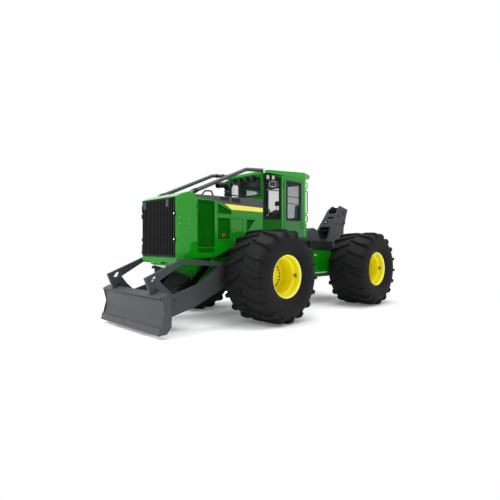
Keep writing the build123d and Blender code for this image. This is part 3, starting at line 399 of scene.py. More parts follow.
# %% Plates and panels
PLATES = [
    # node, finish, body, slot, edge radius
    ("front_chassis", GREEN, "front_frame", "green", 0.005),
    ("hood_mounts", GREEN, "front_frame", "green", 0.004),
    ("pivot_lugs_front", GREEN, "front_frame", "green", 0.005),
    ("arm_pivots", GREEN, "front_frame", "green", 0.004),
    ("lift_anchors", GREEN, "front_frame", "green", 0.004),
    ("steer_anchors", GREEN, "front_frame", "green", 0.004),
    ("cab_back_box", GREEN, "front_frame", "green", 0.006),
    ("cab_steps", CHARCOAL, "front_frame", "frame_grey", 0.004),
    ("handrails", GREEN, "front_frame", "green", 0.001),
    ("work_lights", SATIN_BLACK, "front_frame", "black", 0.008),
    ("tow_plate", GREEN, "front_frame", "green", 0.004),
    ("front_axle", GREEN, "front_frame", "green", 0.006),
    ("engine_block", IRON, "front_frame", "engine_grey", 0.01),
    ("hood_shell", GREEN, "front_frame", "green", 0.004),
    ("hood_deck", DARK_DECK, "front_frame", "dark_grey", 0.006),
    ("exhaust_stack", SATIN_BLACK, "front_frame", "black", 0.002),
    ("cab_floor", GREEN, "front_frame", "green", 0.004),
    ("cab_shell", GREEN, "front_frame", "green", 0.006),
    ("cab_roof", GREEN, "front_frame", "green", 0.014),
    ("cab_consoles", BLACK_PLASTIC, "front_frame", "black", 0.012),
    ("brush_guards", CHARCOAL, "front_frame", "frame_grey", 0.002),
    ("grille_door", SATIN_BLACK, "grille", "black", 0.002),
    ("blade_board", CHARCOAL, "blade", "frame_grey", 0.004),
    ("blade_frame", ARM_GREY, "blade", "frame_grey", 0.005),
    ("rear_chassis", GREEN, "rear_frame", "green", 0.005),
    # The rear deck gets painted shade
    ("rear_deck", SHADE_GREY, "rear_frame", "frame_grey", 0.008),
    ("pivot_lugs_rear", GREEN, "rear_frame", "green", 0.005),
    ("rear_axle", GREEN, "rear_frame", "green", 0.006),
    ("winch_housing", ARCH_GREY, "rear_frame", "frame_grey", 0.006),
    ("fairlead_arch", ARCH_GREY, "rear_frame", "frame_grey", 0.005),
    ("butt_plate", CHARCOAL, "rear_frame", "frame_grey", 0.005),
    ("drawbar", CHARCOAL, "rear_frame", "frame_grey", 0.003),
    ("winch_drum", STEEL, "winch_drum", "steel", 0.002),
    ("fairlead_roller_level", STEEL, "roller_level", "steel", 0.002),
]
for hand, sign in SIDES:
    PLATES += [
        ("screen_door_" + hand, MESH_SHADE_GREEN, "screen_" + hand, "green", 0.002),
        # The doors get the darker green, a painted shade
        ("cab_door_" + hand, DOOR_SHADE_GREEN, "door_" + hand, "green", 0.005),
        # The lift barrels get the painted shade black, so they read as the shade inside the blade's truss
        ("lift_barrel_" + hand, SHADE_BLACK, "lift_barrel_" + hand, "frame_grey", 0.002),
        ("lift_rod_" + hand, CHROME, "lift_rod_" + hand, "steel", 0.001),
        ("steer_barrel_" + hand, SATIN_BLACK, "steer_barrel_" + hand, "frame_grey", 0.002),
        ("steer_rod_" + hand, CHROME, "steer_rod_" + hand, "steel", 0.001),
        ("fairlead_roller_upright_" + hand, STEEL, "roller_upright_" + hand, "steel", 0.002),
    ]
soft = {node: softened(node, finish, body, width) for node, finish, body, slot, width in PLATES}
print(len(soft), "softened plates")

# %% [markdown]
# A soft copy is one skin with one paint, but some of its faces want another: the cab is black inside, the
# sunk panels of the hood are fine mesh, whose darker green is partly painted shade behind its holes, and a
# few faces get painted shade. Each face is asked by its middle and the way it looks.

# %% Second finishes on some faces
def spot(x, y, z):
    """A point of the machine, y measured from the front axle."""
    return Vector((x, y + AXLE_Y, z))


def repaint(piece, finish, chosen):
    """Another finish for the faces that chosen(middle, normal) picks, their middle measured like a spot."""
    mesh = piece.data
    mesh.materials.append(finish)
    picked = [f for f in mesh.polygons if chosen(f.center - spot(0, 0, 0), f.normal)]
    for face in picked:
        face.material_index = len(mesh.materials) - 1
    print(piece.name, len(picked), "faces in", finish.name)


CAB_MIDDLE = Vector((0.0, 1.2, 2.4))
# The left front quarter of the cab runs back along one direction and faces another
QUARTER_ALONG = (0.2334, 0.9724, 0.0)
QUARTER_OUT = (0.9724, -0.2334, 0.0)


def faces_inside(middle, normal):
    return normal.dot((CAB_MIDDLE - middle).normalized()) > 0.45


def in_sunk_panel(middle, normal):
    return abs(normal.x) > 0.9 and 0.585 < abs(middle.x) < 0.595 and middle.z > 1.6


def lamp_lens(middle, normal):
    return middle.z < 3.05 and abs(normal.x) > 0.93 and normal.y < -0.2 and normal.x * middle.x > 0


def blade_end_inside(middle, normal):
    return abs(normal.x) > 0.9 and normal.x * middle.x < 0 and abs(middle.x) > 1.0


def on_arch_slope(middle, normal):
    return normal.y < -0.5 and normal.z > 0.3 and abs(normal.x) < 0.1


def on_arch_cap(middle, normal):
    return middle.z > 2.56 and abs(normal.x) < 0.1 and normal.z > 0.3 and abs(middle.x) < 0.12


def facing_forward(middle, normal):
    """The cab's front wall and its two slanted quarters."""
    quarter = Vector((math.copysign(QUARTER_OUT[0], middle.x), QUARTER_OUT[1], 0.0))
    return normal.y < -0.9 or normal.dot(quarter) > 0.985


repaint(soft["cab_shell"], SHADED_GREEN, facing_forward)
repaint(soft["cab_shell"], BLACK_PLASTIC, faces_inside)
repaint(soft["cab_floor"], BLACK_PLASTIC, lambda middle, normal: normal.z > 0.9)
repaint(soft["hood_shell"], MESH_SHADE_GREEN, in_sunk_panel)
repaint(soft["work_lights"], PALE_LENS, lamp_lens)
# The inner faces of the blade's end plates get painted shade
repaint(soft["blade_board"], SHADE_GREY, blade_end_inside)
# The arch's sloping face gets painted shade
repaint(soft["fairlead_arch"], SLOPE_SHADE_GREY, on_arch_slope)
# The arch's cap gets the painted shade black
repaint(soft["fairlead_arch"], SHADE_BLACK, on_arch_cap)
for hand, sign in SIDES:
    repaint(soft["cab_door_" + hand], BLACK_PLASTIC, lambda middle, normal: normal.x * sign < -0.9)

# %% [markdown]
# The panes are thin, flat and see-through, so the CAD's own meshes are kept and only get the glass.

# %% Window glass
PANES = {"cab_glass": GLASS, "door_glass_left": DOOR_GLASS, "door_glass_right": DOOR_GLASS}
for node, glass in PANES.items():
    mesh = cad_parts[node].data
    mesh.materials.clear()
    mesh.materials.append(glass)

# %% [markdown]
# Two details of the copies change shape a little. The holes in the towers over the blade grow, and the
# thin handle on the deck goes, because a thicker one with slanted legs comes later.

# %% Holes and a handle
def near(v, y, z, reach):
    """Whether a vertex lies within reach of (y, z), y from the front axle."""
    return math.hypot(v.co.y - from_axle(y), v.co.z - z) < reach


def grow_holes(piece, y, z, reach, times):
    middle = spot(0, y, z)
    for v in piece.data.vertices:
        if near(v, y, z, reach):
            v.co.y = middle.y + times * (v.co.y - middle.y)
            v.co.z = middle.z + times * (v.co.z - middle.z)


def without(piece, chosen):
    work = bmesh.new()
    work.from_mesh(piece.data)
    bmesh.ops.delete(work, geom=[v for v in work.verts if chosen(v.co)], context="VERTS")
    work.to_mesh(piece.data)
    work.free()
    print(piece.name, "now has", len(piece.data.vertices), "points")


# The middle of a tower's hole, how far its edge reaches and how much wider it gets
TOWER_HOLE_Y = -2.306
TOWER_HOLE_Z = 0.969
TOWER_HOLE_REACH = 0.068
TOWER_HOLE_GROWTH = 1.40
HANDLE_X = 0.300
DECK_TOP_Z = 2.532
grow_holes(soft["blade_frame"], TOWER_HOLE_Y, TOWER_HOLE_Z, TOWER_HOLE_REACH, TOWER_HOLE_GROWTH)
without(soft["hood_deck"], lambda co: abs(co.x - HANDLE_X) < 0.02 and co.z > DECK_TOP_Z)


# %% [markdown]
# ## Small pieces
#
# Fittings are built from a few simple moves: a block between two corners, a plate drawn from the side, a
# rod between two points, a tube bent along some points, and a flat frame with rounded corners. A piece that
# both hands share is made once for the left and mirrored.

# %% Blocks, plates, rods
def add_block(work, low, high):
    """A box between two corners, y from the front axle."""
    low, high = spot(*low), spot(*high)
    place = Matrix.Translation((low + high) / 2) @ Matrix.Diagonal((*(high - low), 1.0))
    bmesh.ops.create_cube(work, size=1.0, matrix=place)


def thicken(work, faces, move):
    """Draws flat faces out by a vector into a solid."""
    grown = bmesh.ops.extrude_face_region(work, geom=faces)
    moved = [g for g in grown["geom"] if isinstance(g, bmesh.types.BMVert)]
    bmesh.ops.translate(work, verts=moved, vec=move)
    bmesh.ops.recalc_face_normals(work, faces=work.faces)


def add_plate(work, outline, x0, x1):
    """A plate drawn by its (y, z) corners from the side, between x0 and x1."""
    face = work.faces.new([work.verts.new(spot(x0, y, z)) for y, z in outline])
    thicken(work, [face], (x1 - x0, 0, 0))


def add_cone(work, stand, radius, tip_radius, depth, sides):
    """A closed cone or cylinder along the Z of a matrix that holds its middle."""
    bmesh.ops.create_cone(work, cap_ends=True, segments=sides, radius1=radius, radius2=tip_radius,
                          depth=depth, matrix=stand)


def add_rod(work, start, end, radius, sides=12):
    """A round bar between two points, y from the front axle."""
    start, end = spot(*start), spot(*end)
    turn = (end - start).to_track_quat("Z", "Y").to_matrix().to_4x4()
    stand = Matrix.Translation((start + end) / 2) @ turn
    add_cone(work, stand, radius, radius, (end - start).length, sides)


# %% Bent tubes
def rounded_path(points, bend):
    """The points of a bent tube: each inner corner gives way to a short curve."""
    path = [points[0]]
    for before, corner, after in zip(points, points[1:], points[2:]):
        reach = min(bend, 0.45 * (before - corner).length, 0.45 * (after - corner).length)
        first = corner + reach * (before - corner).normalized()
        last = corner + reach * (after - corner).normalized()
        path += interpolate_bezier(first, first.lerp(corner, 0.6), last.lerp(corner, 0.6), last, 6)
    return path + [points[-1]]


def add_tube(work, points, radius, bend=0.03, closed=False):
    """A round tube along points. A curve with a bevel makes it, and only its mesh is kept."""
    line = bpy.data.curves.new("line", "CURVE")
    line.dimensions = "3D"
    line.bevel_depth = radius
    line.bevel_resolution = 2
    line.use_fill_caps = True
    path = rounded_path([spot(*p) for p in points], bend)
    spline = line.splines.new("POLY")
    spline.points.add(len(path) - 1)
    for dot, place in zip(spline.points, path):
        dot.co = (*place, 1.0)
    spline.use_cyclic_u = closed
    holder = bpy.data.objects.new("line", line)
    mesh = bpy.data.meshes.new_from_object(holder)
    work.from_mesh(mesh)
    bpy.data.objects.remove(holder)
    bpy.data.curves.remove(line)
    bpy.data.meshes.remove(mesh)


# %% Flat frames
CORNER_STEPS = 4


def rounded_rectangle(half_u, half_v, corner):
    """Points round a rectangle with rounded corners, in its own plane."""
    points = []
    for i, (u, v) in enumerate(((1, 1), (-1, 1), (-1, -1), (1, -1))):
        for k in range(CORNER_STEPS + 1):
            angle = math.radians(90 * (i + k / CORNER_STEPS))
            points.append((u * (half_u - corner) + corner * math.cos(angle),
                           v * (half_v - corner) + corner * math.sin(angle)))
    return points


def add_frame(work, place, half_u, half_v, border, thick, corner=0.04):
    """A flat frame with rounded corners, standing up by thick from the plane that a matrix places."""
    loops = []
    for inset in (0.0, border):
        outline = rounded_rectangle(half_u - inset, half_v - inset, max(corner - inset, 0.008))
        dots = [work.verts.new(place @ Vector((u, v, 0.0))) for u, v in outline]
        loops += [work.edges.new(pair) for pair in zip(dots, dots[1:] + dots[:1])]
    flat = bmesh.ops.bridge_loops(work, edges=loops)["faces"]
    thicken(work, flat, thick * (place.to_3x3() @ Vector((0, 0, 1))))


def plane_at(origin, along, up):
    """A matrix with its origin at a point, local x along one direction and local y along another."""
    along, up = Vector(along).normalized(), Vector(up).normalized()
    turn = Matrix((along, up, along.cross(up))).transposed()
    return Matrix.Translation(spot(*origin)) @ turn.to_4x4()


# %% One piece, or one for each hand
def single(fill, finish, body, width=0.0, hand=None):
    """A piece that fill(work) draws, named after fill. The right hand's is the mirror image."""
    work = bmesh.new()
    fill(work)
    if hand == "right":
        bmesh.ops.scale(work, vec=(-1, 1, 1), verts=work.verts)
        bmesh.ops.reverse_faces(work, faces=work.faces)
    name = f"{fill.__name__}_{hand}" if hand else fill.__name__
    piece = as_object(name, work, finish, body.format(hand=hand))
    if width:
        round_edges(piece, width)


def both_hands(fill, finish, body, width=0.0):
    """A piece for the left hand and one for the right. body may hold {hand}."""
    for hand in ("left", "right"):
        single(fill, finish, body, width, hand)


# %% [markdown]
# ## Window seals and guards
#
# Each pane sits in a black rubber seal, and the door panes have a guard behind them: a ladder of thin rods
# with two flat bars across.

# %% Seals
ALONG_Y = ((0, 1, 0), (0, 0, 1))
ALONG_X = ((1, 0, 0), (0, 0, 1))


def door_seal(work):
    add_frame(work, plane_at((0.690, 1.432, 2.566), *ALONG_Y), 0.280, 0.462, 0.050, 0.013)
    add_block(work, (0.690, 1.622, 2.140), (0.701, 1.690, 2.990))
    add_block(work, (0.690, 1.215, 2.940), (0.701, 1.650, 2.985))


def quarter_seal(work):
    add_frame(work, plane_at((0.630, 0.7523, 2.590), QUARTER_ALONG, (0, 0, 1)), 0.237, 0.482, 0.052, 0.013)


def windshield_seal(work):
    add_frame(work, plane_at((0, 0.510, 2.845), *ALONG_X), 0.51, 0.215, 0.036, 0.014)


def rear_window_seal(work):
    add_frame(work, plane_at((0, 1.875, 2.605), (-1, 0, 0), (0, 0, 1)), 0.57, 0.435, 0.040, 0.014)


both_hands(door_seal, SEAL_GREY, "door_{hand}")
both_hands(quarter_seal, RUBBER, "front_frame")
single(windshield_seal, RUBBER, "front_frame")
single(rear_window_seal, RUBBER, "front_frame")


# %% Guard rods behind the door panes
GUARD_RODS = 37
GUARD_ROD_PITCH = 0.024
LOWEST_ROD_Z = 2.132


def guard_rods(work):
    for i in range(GUARD_RODS):
        z = LOWEST_ROD_Z + GUARD_ROD_PITCH * i
        add_rod(work, (0.662, 1.178, z), (0.662, 1.714, z), 0.0028, 6)


def guard_bars(work):
    for z in (2.508, 2.665):
        add_block(work, (0.6665, 1.178, z - 0.008), (0.6705, 1.714, z + 0.008))
    for y in (1.19, 1.702):
        add_block(work, (0.656, y - 0.008, 2.118), (0.6705, y + 0.008, 3.01))


both_hands(guard_rods, STEEL, "door_{hand}")
both_hands(guard_bars, SATIN_BLACK, "door_{hand}", 0.001)

# %% [markdown]
# ## Inside the cab
#
# A black headliner, the two control pods beside the seat, and what is on them.

# %% Headliner and controls
def headliner(work):
    outline = [(0.56, 3.070), (0.56, 3.114), (1.825, 3.114), (1.825, 3.030), (1.70, 3.005), (0.70, 3.030)]
    add_plate(work, outline, -0.60, 0.60)


def rear_console(work):
    add_plate(work, [(1.740, 1.95), (1.770, 2.500), (1.845, 2.520), (1.845, 1.95)], 0.450, 0.560)


def control_pods(work):
    outline = [(0.72, 1.90), (0.72, 2.150), (0.80, 2.235), (0.98, 2.300), (1.24, 2.290), (1.42, 2.160),
               (1.42, 1.90)]
    add_plate(work, outline, 0.335, 0.475)


# Each lever's place, x and y, and the heights of its foot and its top
LEVERS = ((0.375, 0.80, 2.21, 2.300), (0.435, 0.87, 2.24, 2.330), (0.375, 0.95, 2.27, 2.350))


def levers(work):
    for x, y, foot, top in LEVERS:
        add_rod(work, (x, y, foot), (x, y - 0.01, top), 0.008, 8)
        add_rod(work, (x, y - 0.01, top), (x, y - 0.012, top + 0.022), 0.015, 12)


def red_grip(work):
    add_tube(work, [(0.452, 0.930, 2.225), (0.452, 1.020, 2.270), (0.452, 1.060, 2.345)], 0.034, bend=0.03)


def white_knob(work):
    stand = Matrix.Translation(spot(0.455, 0.790, 2.205)) @ Matrix.Diagonal((1, 1, 1.35, 1))
    bmesh.ops.create_uvsphere(work, u_segments=14, v_segments=9, radius=0.022, matrix=stand)


single(headliner, SATIN_BLACK, "front_frame", 0.006)
single(rear_console, SATIN_BLACK, "front_frame", 0.008)
both_hands(control_pods, BLACK_PLASTIC, "front_frame", 0.012)
both_hands(levers, SATIN_BLACK, "front_frame")
both_hands(white_knob, WHITE_PLASTIC, "front_frame")
both_hands(red_grip, RED_PLASTIC, "front_frame")

# %% [markdown]
# ## On the hood
#
# Behind the grille sits the dark radiator core, and two grey lamps look out between the bars. The sides
# carry small bolts, sprung latches in round orange rings, vents in the deck and thin raised borders round
# the sunk panels.

# %% Behind the grille
CORE_FINS = 18
CORE_FIN_PITCH = 0.058
LOWEST_FIN_Z = 1.36


def radiator_core(work):
    add_block(work, (-0.53, -1.705, 1.33), (0.53, -1.685, 2.405))
    for i in range(CORE_FINS):
        z = LOWEST_FIN_Z + CORE_FIN_PITCH * i
        add_block(work, (-0.525, -1.712, z), (0.525, -1.704, z + 0.012))


def grille_lamps(work):
    for x in (-0.480, 0.330):
        add_block(work, (x - 0.042, -1.8075, 2.250), (x + 0.042, -1.796, 2.400))


def grille_knuckles(work):
    for z in (1.395, 2.110):
        add_rod(work, (-0.610, -1.786, z - 0.045), (-0.610, -1.786, z + 0.045), 0.016, 16)


# Heights of the two latches that hold the grille shut
GRILLE_LATCH_ZS = (2.113, 1.642)


def latch_pins(work):
    for z in GRILLE_LATCH_ZS:
        add_rod(work, (0.566, -1.8200, z - 0.012), (0.566, -1.8100, z + 0.012), 0.014, 12)


single(radiator_core, SATIN_BLACK, "front_frame")
single(grille_lamps, LAMP_GREY, "grille")
single(grille_knuckles, SATIN_BLACK, "front_frame", 0.003)


# %% Bolts, latches and strips on the hood's sides
def nose_bolts(work):
    for y, z in ((-1.723, 2.040), (-1.499, 2.034), (-1.723, 1.931), (-1.494, 1.927)):
        add_rod(work, (0.598, y, z), (0.606, y, z), 0.009, 10)


def nose_latches(work):
    for z in GRILLE_LATCH_ZS:
        add_block(work, (0.545, -1.812, z - 0.035), (0.592, -1.788, z + 0.035))


# Middles of the sprung latches on the hood's sides
LATCHES = ((0.5905, -0.664, 1.740), (0.6005, -0.365, 1.878))


def latch_rings(work):
    for x, y, z in LATCHES:
        add_frame(work, plane_at((x - 0.002, y, z), *ALONG_Y), 0.033, 0.033, 0.010, 0.008, corner=0.0329)


def latch_cups(work):
    for x, y, z in LATCHES:
        add_rod(work, (x - 0.004, y, z), (x + 0.003, y, z), 0.024, 16)


def cream_bars(work):
    for y in (-0.540, -0.325):
        add_block(work, (0.599, y - 0.055, 1.633), (0.604, y + 0.055, 1.647))


both_hands(nose_bolts, STEEL, "front_frame")
both_hands(nose_latches, BLACK_PLASTIC, "front_frame", 0.004)
single(latch_pins, STEEL, "front_frame")
both_hands(latch_rings, AMBER, "front_frame")
both_hands(latch_cups, BLACK_PLASTIC, "front_frame")
both_hands(cream_bars, CREAM, "front_frame", 0.001)

# %% Borders round the panels
BORDERS = [
    [(-0.828, 2.372), (-0.828, 2.160), (-0.455, 2.160), (-0.455, 2.237)],
    [(-0.828, 2.085), (-0.828, 1.640), (-0.489, 1.640), (-0.489, 2.085)],
    [(-0.455, 2.085), (-0.455, 1.660), (-0.130, 1.660), (-0.130, 2.085)],
    [(-0.020, 2.085), (-0.020, 1.790), (0.240, 2.085)],
]


def panel_borders(work):
    for outline in BORDERS:
        for (y0, z0), (y1, z1) in zip(outline, outline[1:] + outline[:1]):
            add_rod(work, (0.600, y0, z0), (0.600, y1, z1), 0.009, 8)


def hood_strips(work):
    add_plate(work, [(-1.318, 1.488), (-1.318, 1.498), (-0.892, 1.498), (-0.892, 1.488)], 0.595, 0.609)
    add_plate(work, [(-0.870, 2.118), (-0.870, 2.126), (0.460, 2.126), (0.460, 2.118)], 0.595, 0.606)


def slot_under_screen(work):
    add_plate(work, [(-1.300, 1.396), (-1.300, 1.475), (-0.905, 1.475), (-0.905, 1.396)], 0.590, 0.6012)


both_hands(panel_borders, GREEN, "front_frame")
both_hands(hood_strips, GREEN, "front_frame", 0.002)
both_hands(slot_under_screen, MESH_SHADE_GREEN, "front_frame")


# %% Vents in the deck's sides
def deck_vents(work):
    add_plate(work, [(-0.740, 2.436), (-0.755, 2.498), (-0.520, 2.506), (-0.505, 2.436)], 0.590, 0.6015)
    add_plate(work, [(-0.430, 2.412), (-0.445, 2.492), (-0.210, 2.500), (-0.195, 2.412)], 0.590, 0.6015)


SLATS_PER_VENT = 5


def vent_slats(work):
    for y0, z0, height in ((-0.742, 2.436, 0.062), (-0.432, 2.412, 0.080)):
        for i in range(SLATS_PER_VENT):
            z = z0 + height * (i + 0.5) / SLATS_PER_VENT
            add_block(work, (0.598, y0 + 0.01, z - 0.001), (0.605, y0 + 0.220, z + 0.002))


both_hands(deck_vents, BLACK_PLASTIC, "front_frame")
both_hands(vent_slats, DARK_DECK, "front_frame")


# %% Exhaust collars and guard clamps
EXHAUST_Y = -0.033


def exhaust_flange(work):
    add_rod(work, (0, EXHAUST_Y, 2.525), (0, EXHAUST_Y, 2.548), 0.105, 24)
    add_rod(work, (0, EXHAUST_Y, 2.640), (0, EXHAUST_Y, 2.672), 0.078, 24)


def exhaust_clamp(work):
    add_rod(work, (0, EXHAUST_Y, 2.705), (0, EXHAUST_Y, 2.727), 0.069, 24)
    add_block(work, (-0.015, -0.125, 2.705), (0.015, -0.090, 2.727))


def guard_sleeves(work):
    add_rod(work, (0.560, -1.400, 2.543), (0.560, -1.310, 2.582), 0.047, 20)


def guard_feet(work):
    add_plate(work, [(-1.475, 2.500), (-1.475, 2.545), (-1.420, 2.575), (-1.400, 2.560), (-1.400, 2.490)],
              0.535, 0.598)


def guard_bolts(work):
    for y, z in ((-1.458, 2.531), (-1.418, 2.556)):
        add_rod(work, (0.597, y, z), (0.605, y, z), 0.012, 6)


def deck_handle(work):
    path = ((-1.022, 2.500), (-0.897, 2.632), (-0.736, 2.644), (-0.668, 2.512))
    add_tube(work, [(HANDLE_X, y, z) for y, z in path], 0.0165, bend=0.018)


def guard_collars(work):
    for y, z in ((0.100, 3.154), (0.280, 3.170)):
        add_rod(work, (-0.560, y, z), (-0.560, y + 0.05, z + 0.0045), 0.047, 20)


def roof_brackets(work):
    add_block(work, (0.600, 0.488, 3.122), (0.640, 0.506, 3.212))


both_hands(roof_brackets, WHITE_PLASTIC, "front_frame", 0.003)
both_hands(guard_sleeves, SATIN_BLACK, "front_frame")
both_hands(guard_feet, GREEN, "front_frame", 0.003)
both_hands(guard_bolts, STEEL, "front_frame")
single(deck_handle, SATIN_BLACK, "front_frame")
single(guard_collars, SATIN_BLACK, "front_frame")
single(exhaust_flange, SATIN_BLACK, "front_frame", 0.003)
single(exhaust_clamp, IRON, "front_frame", 0.002)

# %% [markdown]
# ## Round the cab
#
# Small rings hang under the lamps, a short loop joins the roof at each back corner, and the doors have
# their handles.

# %% Rings, loops and handles
def on_quarter(u, v, out):
    """A point on the left front quarter: u along it from its middle, height v, out from its outer face."""
    return Vector((0.640, 0.750, v)) + Vector(QUARTER_ALONG) * u + Vector(QUARTER_OUT) * out


def lamp_bezels(work):
    for along in (-0.190, -0.050):
        place = plane_at(on_quarter(along, 3.032, 0.096), QUARTER_ALONG, (0, 0, 1))
        add_frame(work, place, 0.051, 0.058, 0.015, 0.008, corner=0.012)


def lamp_rings(work):
    dots = [on_quarter(u - 0.035, 2.893 + v, 0.055) for u, v in rounded_rectangle(0.085, 0.058, 0.034)]
    add_tube(work, dots, 0.005, bend=0.005, closed=True)
    add_tube(work, [on_quarter(-0.050, 2.975, 0.060), on_quarter(-0.050, 2.945, 0.055)], 0.005)


def quarter_bars(work):
    for v in (2.758, 2.772):
        ends = ((-0.160, -0.004), (-0.160, 0.016), (0.150, 0.016), (0.150, -0.004))
        add_tube(work, [on_quarter(u, v, out) for u, out in ends], 0.009, bend=0.01)


def roof_loops(work):
    corners = ((1.880, 3.060), (1.985, 3.060), (1.985, 2.920), (1.880, 2.920))
    add_tube(work, [(0.670, y, z) for y, z in corners], 0.012, bend=0.035)


def door_handles(work):
    corners = ((0.698, 1.930), (0.738, 1.930), (0.738, 2.060), (0.698, 2.060))
    add_tube(work, [(x, 1.745, z) for x, z in corners], 0.009, bend=0.02)


def pillar_beads(work):
    for y in (1.012, 1.826):
        add_rod(work, (0.699, y, 1.760), (0.699, y, 3.070), 0.010, 12)


def door_gaps(work):
    add_block(work, (0.697, 1.054, 1.760), (0.7015, 1.064, 3.060))


# The pillar beads get the lighter green, a painted highlight
both_hands(pillar_beads, HIGHLIGHT_BEAD_GREEN, "front_frame")
both_hands(door_gaps, SATIN_BLACK, "front_frame")
both_hands(lamp_bezels, SATIN_BLACK, "front_frame")
both_hands(lamp_rings, STEEL, "front_frame")
both_hands(quarter_bars, GREY_PLASTIC, "front_frame")
both_hands(roof_loops, GREEN, "front_frame")
both_hands(door_handles, GREEN, "door_{hand}")


# %% [markdown]
# ## Blade and rear frame
#
# The arms have dark films, painted shade where a slotted hole near the blade would show, and the mouldboard
# a painted shadow line under its top flange. At the back there is a marker lamp, and the arch's pins end in
# washers and bolt heads.

# %% Blade details
# Dark films on both faces of each arm: painted shade where a slotted hole shows
def arm_slot_shades(work):
    for x0, x1 in ((0.7265, 0.7285), (0.6585, 0.6605)):
        for y, z, half_y, half_z in ((-2.266, 0.775, 0.030, 0.018), (-1.902, 0.569, 0.034, 0.008)):
            corners = [(y + u, z + v) for u, v in rounded_rectangle(half_y, half_z, half_z * 0.98)]
            add_plate(work, corners, x0, x1)


ARM_PIN_Y = -0.500
ARM_PIN_Z = 0.930
CAP_BOLT_CIRCLE = 0.045


def arm_pin_caps(work):
    add_rod(work, (0.715, ARM_PIN_Y, ARM_PIN_Z), (0.735, ARM_PIN_Y, ARM_PIN_Z), 0.070, 24)
    for i in range(4):
        turn = math.radians(45 + 90 * i)
        y = ARM_PIN_Y + CAP_BOLT_CIRCLE * math.cos(turn)
        z = ARM_PIN_Z + CAP_BOLT_CIRCLE * math.sin(turn)
        add_rod(work, (0.733, y, z), (0.745, y, z), 0.012, 6)


def arm_doublers(work):
    outline = [(-2.150, 0.315), (-2.290, 0.480), (-2.300, 0.880), (-2.200, 0.905), (-1.930, 0.655),
               (-1.762, 0.655), (-1.620, 0.634), (-1.530, 0.585), (-1.490, 0.520), (-1.495, 0.460),
               (-1.560, 0.395), (-1.900, 0.300)]
    add_plate(work, outline, 0.719, 0.727)


def edge_plates(work):
    add_plate(work, [(-2.4475, 0.070), (-2.4310, 0.188), (-2.4270, 0.188), (-2.4435, 0.070)], 0.0, 1.068)


# A black strip under the flange's lip: a painted shadow line
def flange_shadow_line(work):
    add_plate(work, [(-2.4005, 0.640), (-2.4060, 0.668), (-2.380, 0.668), (-2.380, 0.640)], 0.0, 1.050)


def flange_lip(work):
    add_plate(work, [(-2.412, 0.668), (-2.412, 0.690), (-2.380, 0.700), (-2.380, 0.672)], 0.0, 1.050)


both_hands(arm_slot_shades, BLACK_PLASTIC, "blade")
both_hands(arm_pin_caps, ARCH_GREY, "front_frame", 0.002)
both_hands(arm_doublers, CHARCOAL, "blade", 0.002)
both_hands(edge_plates, CHARCOAL, "blade", 0.001)
both_hands(flange_lip, CHARCOAL, "blade", 0.002)
both_hands(flange_shadow_line, SATIN_BLACK, "blade")


# %% Rear details
def marker_lamps(work):
    add_block(work, (0.448, 2.590, 1.250), (0.468, 2.665, 1.292))


def marker_lenses(work):
    add_block(work, (0.460, 2.632, 1.255), (0.473, 2.660, 1.287))


# A pale strip along the top of each rear flange: a painted highlight where the flange's top catches the
# light
def rear_flange_highlights(work):
    add_block(work, (0.440, 2.590, 0.800), (0.545, 3.200, 0.818))


ARCH_FOOT_X = 0.295
ARCH_FOOT_Z = 1.400
ARCH_LEAN = 6.7


def leaned(fill):
    """Draws against the plane x = 0, then leans it on the arch's left plate, whose outer face it meets."""
    @functools.wraps(fill)
    def lean_over(work):
        fill(work)
        foot = Matrix.Translation(spot(ARCH_FOOT_X, 0.0, ARCH_FOOT_Z))
        lean = Matrix.Rotation(math.radians(-ARCH_LEAN), 4, "Y")
        tip = foot @ lean @ Matrix.Translation(-spot(0.0, 0.0, ARCH_FOOT_Z))
        bmesh.ops.transform(work, matrix=tip, verts=work.verts)
    return lean_over


def arch_front_ribs(work):
    outline = [(3.440, 1.480), (3.500, 1.725), (3.828, 2.175), (4.130, 2.585), (4.175, 2.545),
               (3.875, 2.140), (3.560, 1.700), (3.500, 1.480)]
    add_plate(work, outline, -0.002, 0.028)


def arch_top_ribs(work):
    add_plate(work, [(4.180, 2.545), (4.270, 2.680), (4.610, 2.605), (4.600, 2.540)], -0.002, 0.018)


def arch_bosses(work):
    for y, z, radius in ((4.385, 2.200, 0.060), (4.150, 2.400, 0.048), (4.420, 2.480, 0.052)):
        add_rod(work, (-0.004, y, z), (0.020, y, z), radius, 24)
        add_rod(work, (0.018, y, z), (0.030, y, z), 0.45 * radius, 6)
    for i in range(5):
        y = 3.960 + 0.075 * i
        add_rod(work, (-0.004, y, 2.160), (0.014, y, 2.160), 0.013, 6)


ARCH_SLOPE = math.atan2(0.615, 0.465)
ARCH_FACE = plane_at((0.0, 3.640, 1.950), (1, 0, 0), (0, math.cos(ARCH_SLOPE), math.sin(ARCH_SLOPE)))
# Middle and half size of each black film, painted shade where an opening shows, across and up the arch's
# sloping face
OPENING_SHADES = [(0.030, 0.700, 0.120, 0.060), (0.050, 0.470, 0.100, 0.030), (-0.040, 0.300, 0.055, 0.055),
            (0.010, 0.070, 0.160, 0.060)]


def arch_plug(work):
    add_cone(work, ARCH_FACE @ Matrix.Translation((-0.040, 0.300, 0.006)), 0.026, 0.020, 0.016, 16)


# Black films laid on the arch's slope: painted shade where its openings are
def arch_opening_shades(work):
    for u, v, half_u, half_v in OPENING_SHADES:
        outline = rounded_rectangle(half_u, half_v, 0.02)
        ring = [work.verts.new(ARCH_FACE @ Vector((u + a, v + b, 0.003))) for a, b in outline]
        thicken(work, [work.faces.new(ring)], ARCH_FACE.to_3x3() @ Vector((0, 0, -0.004)))


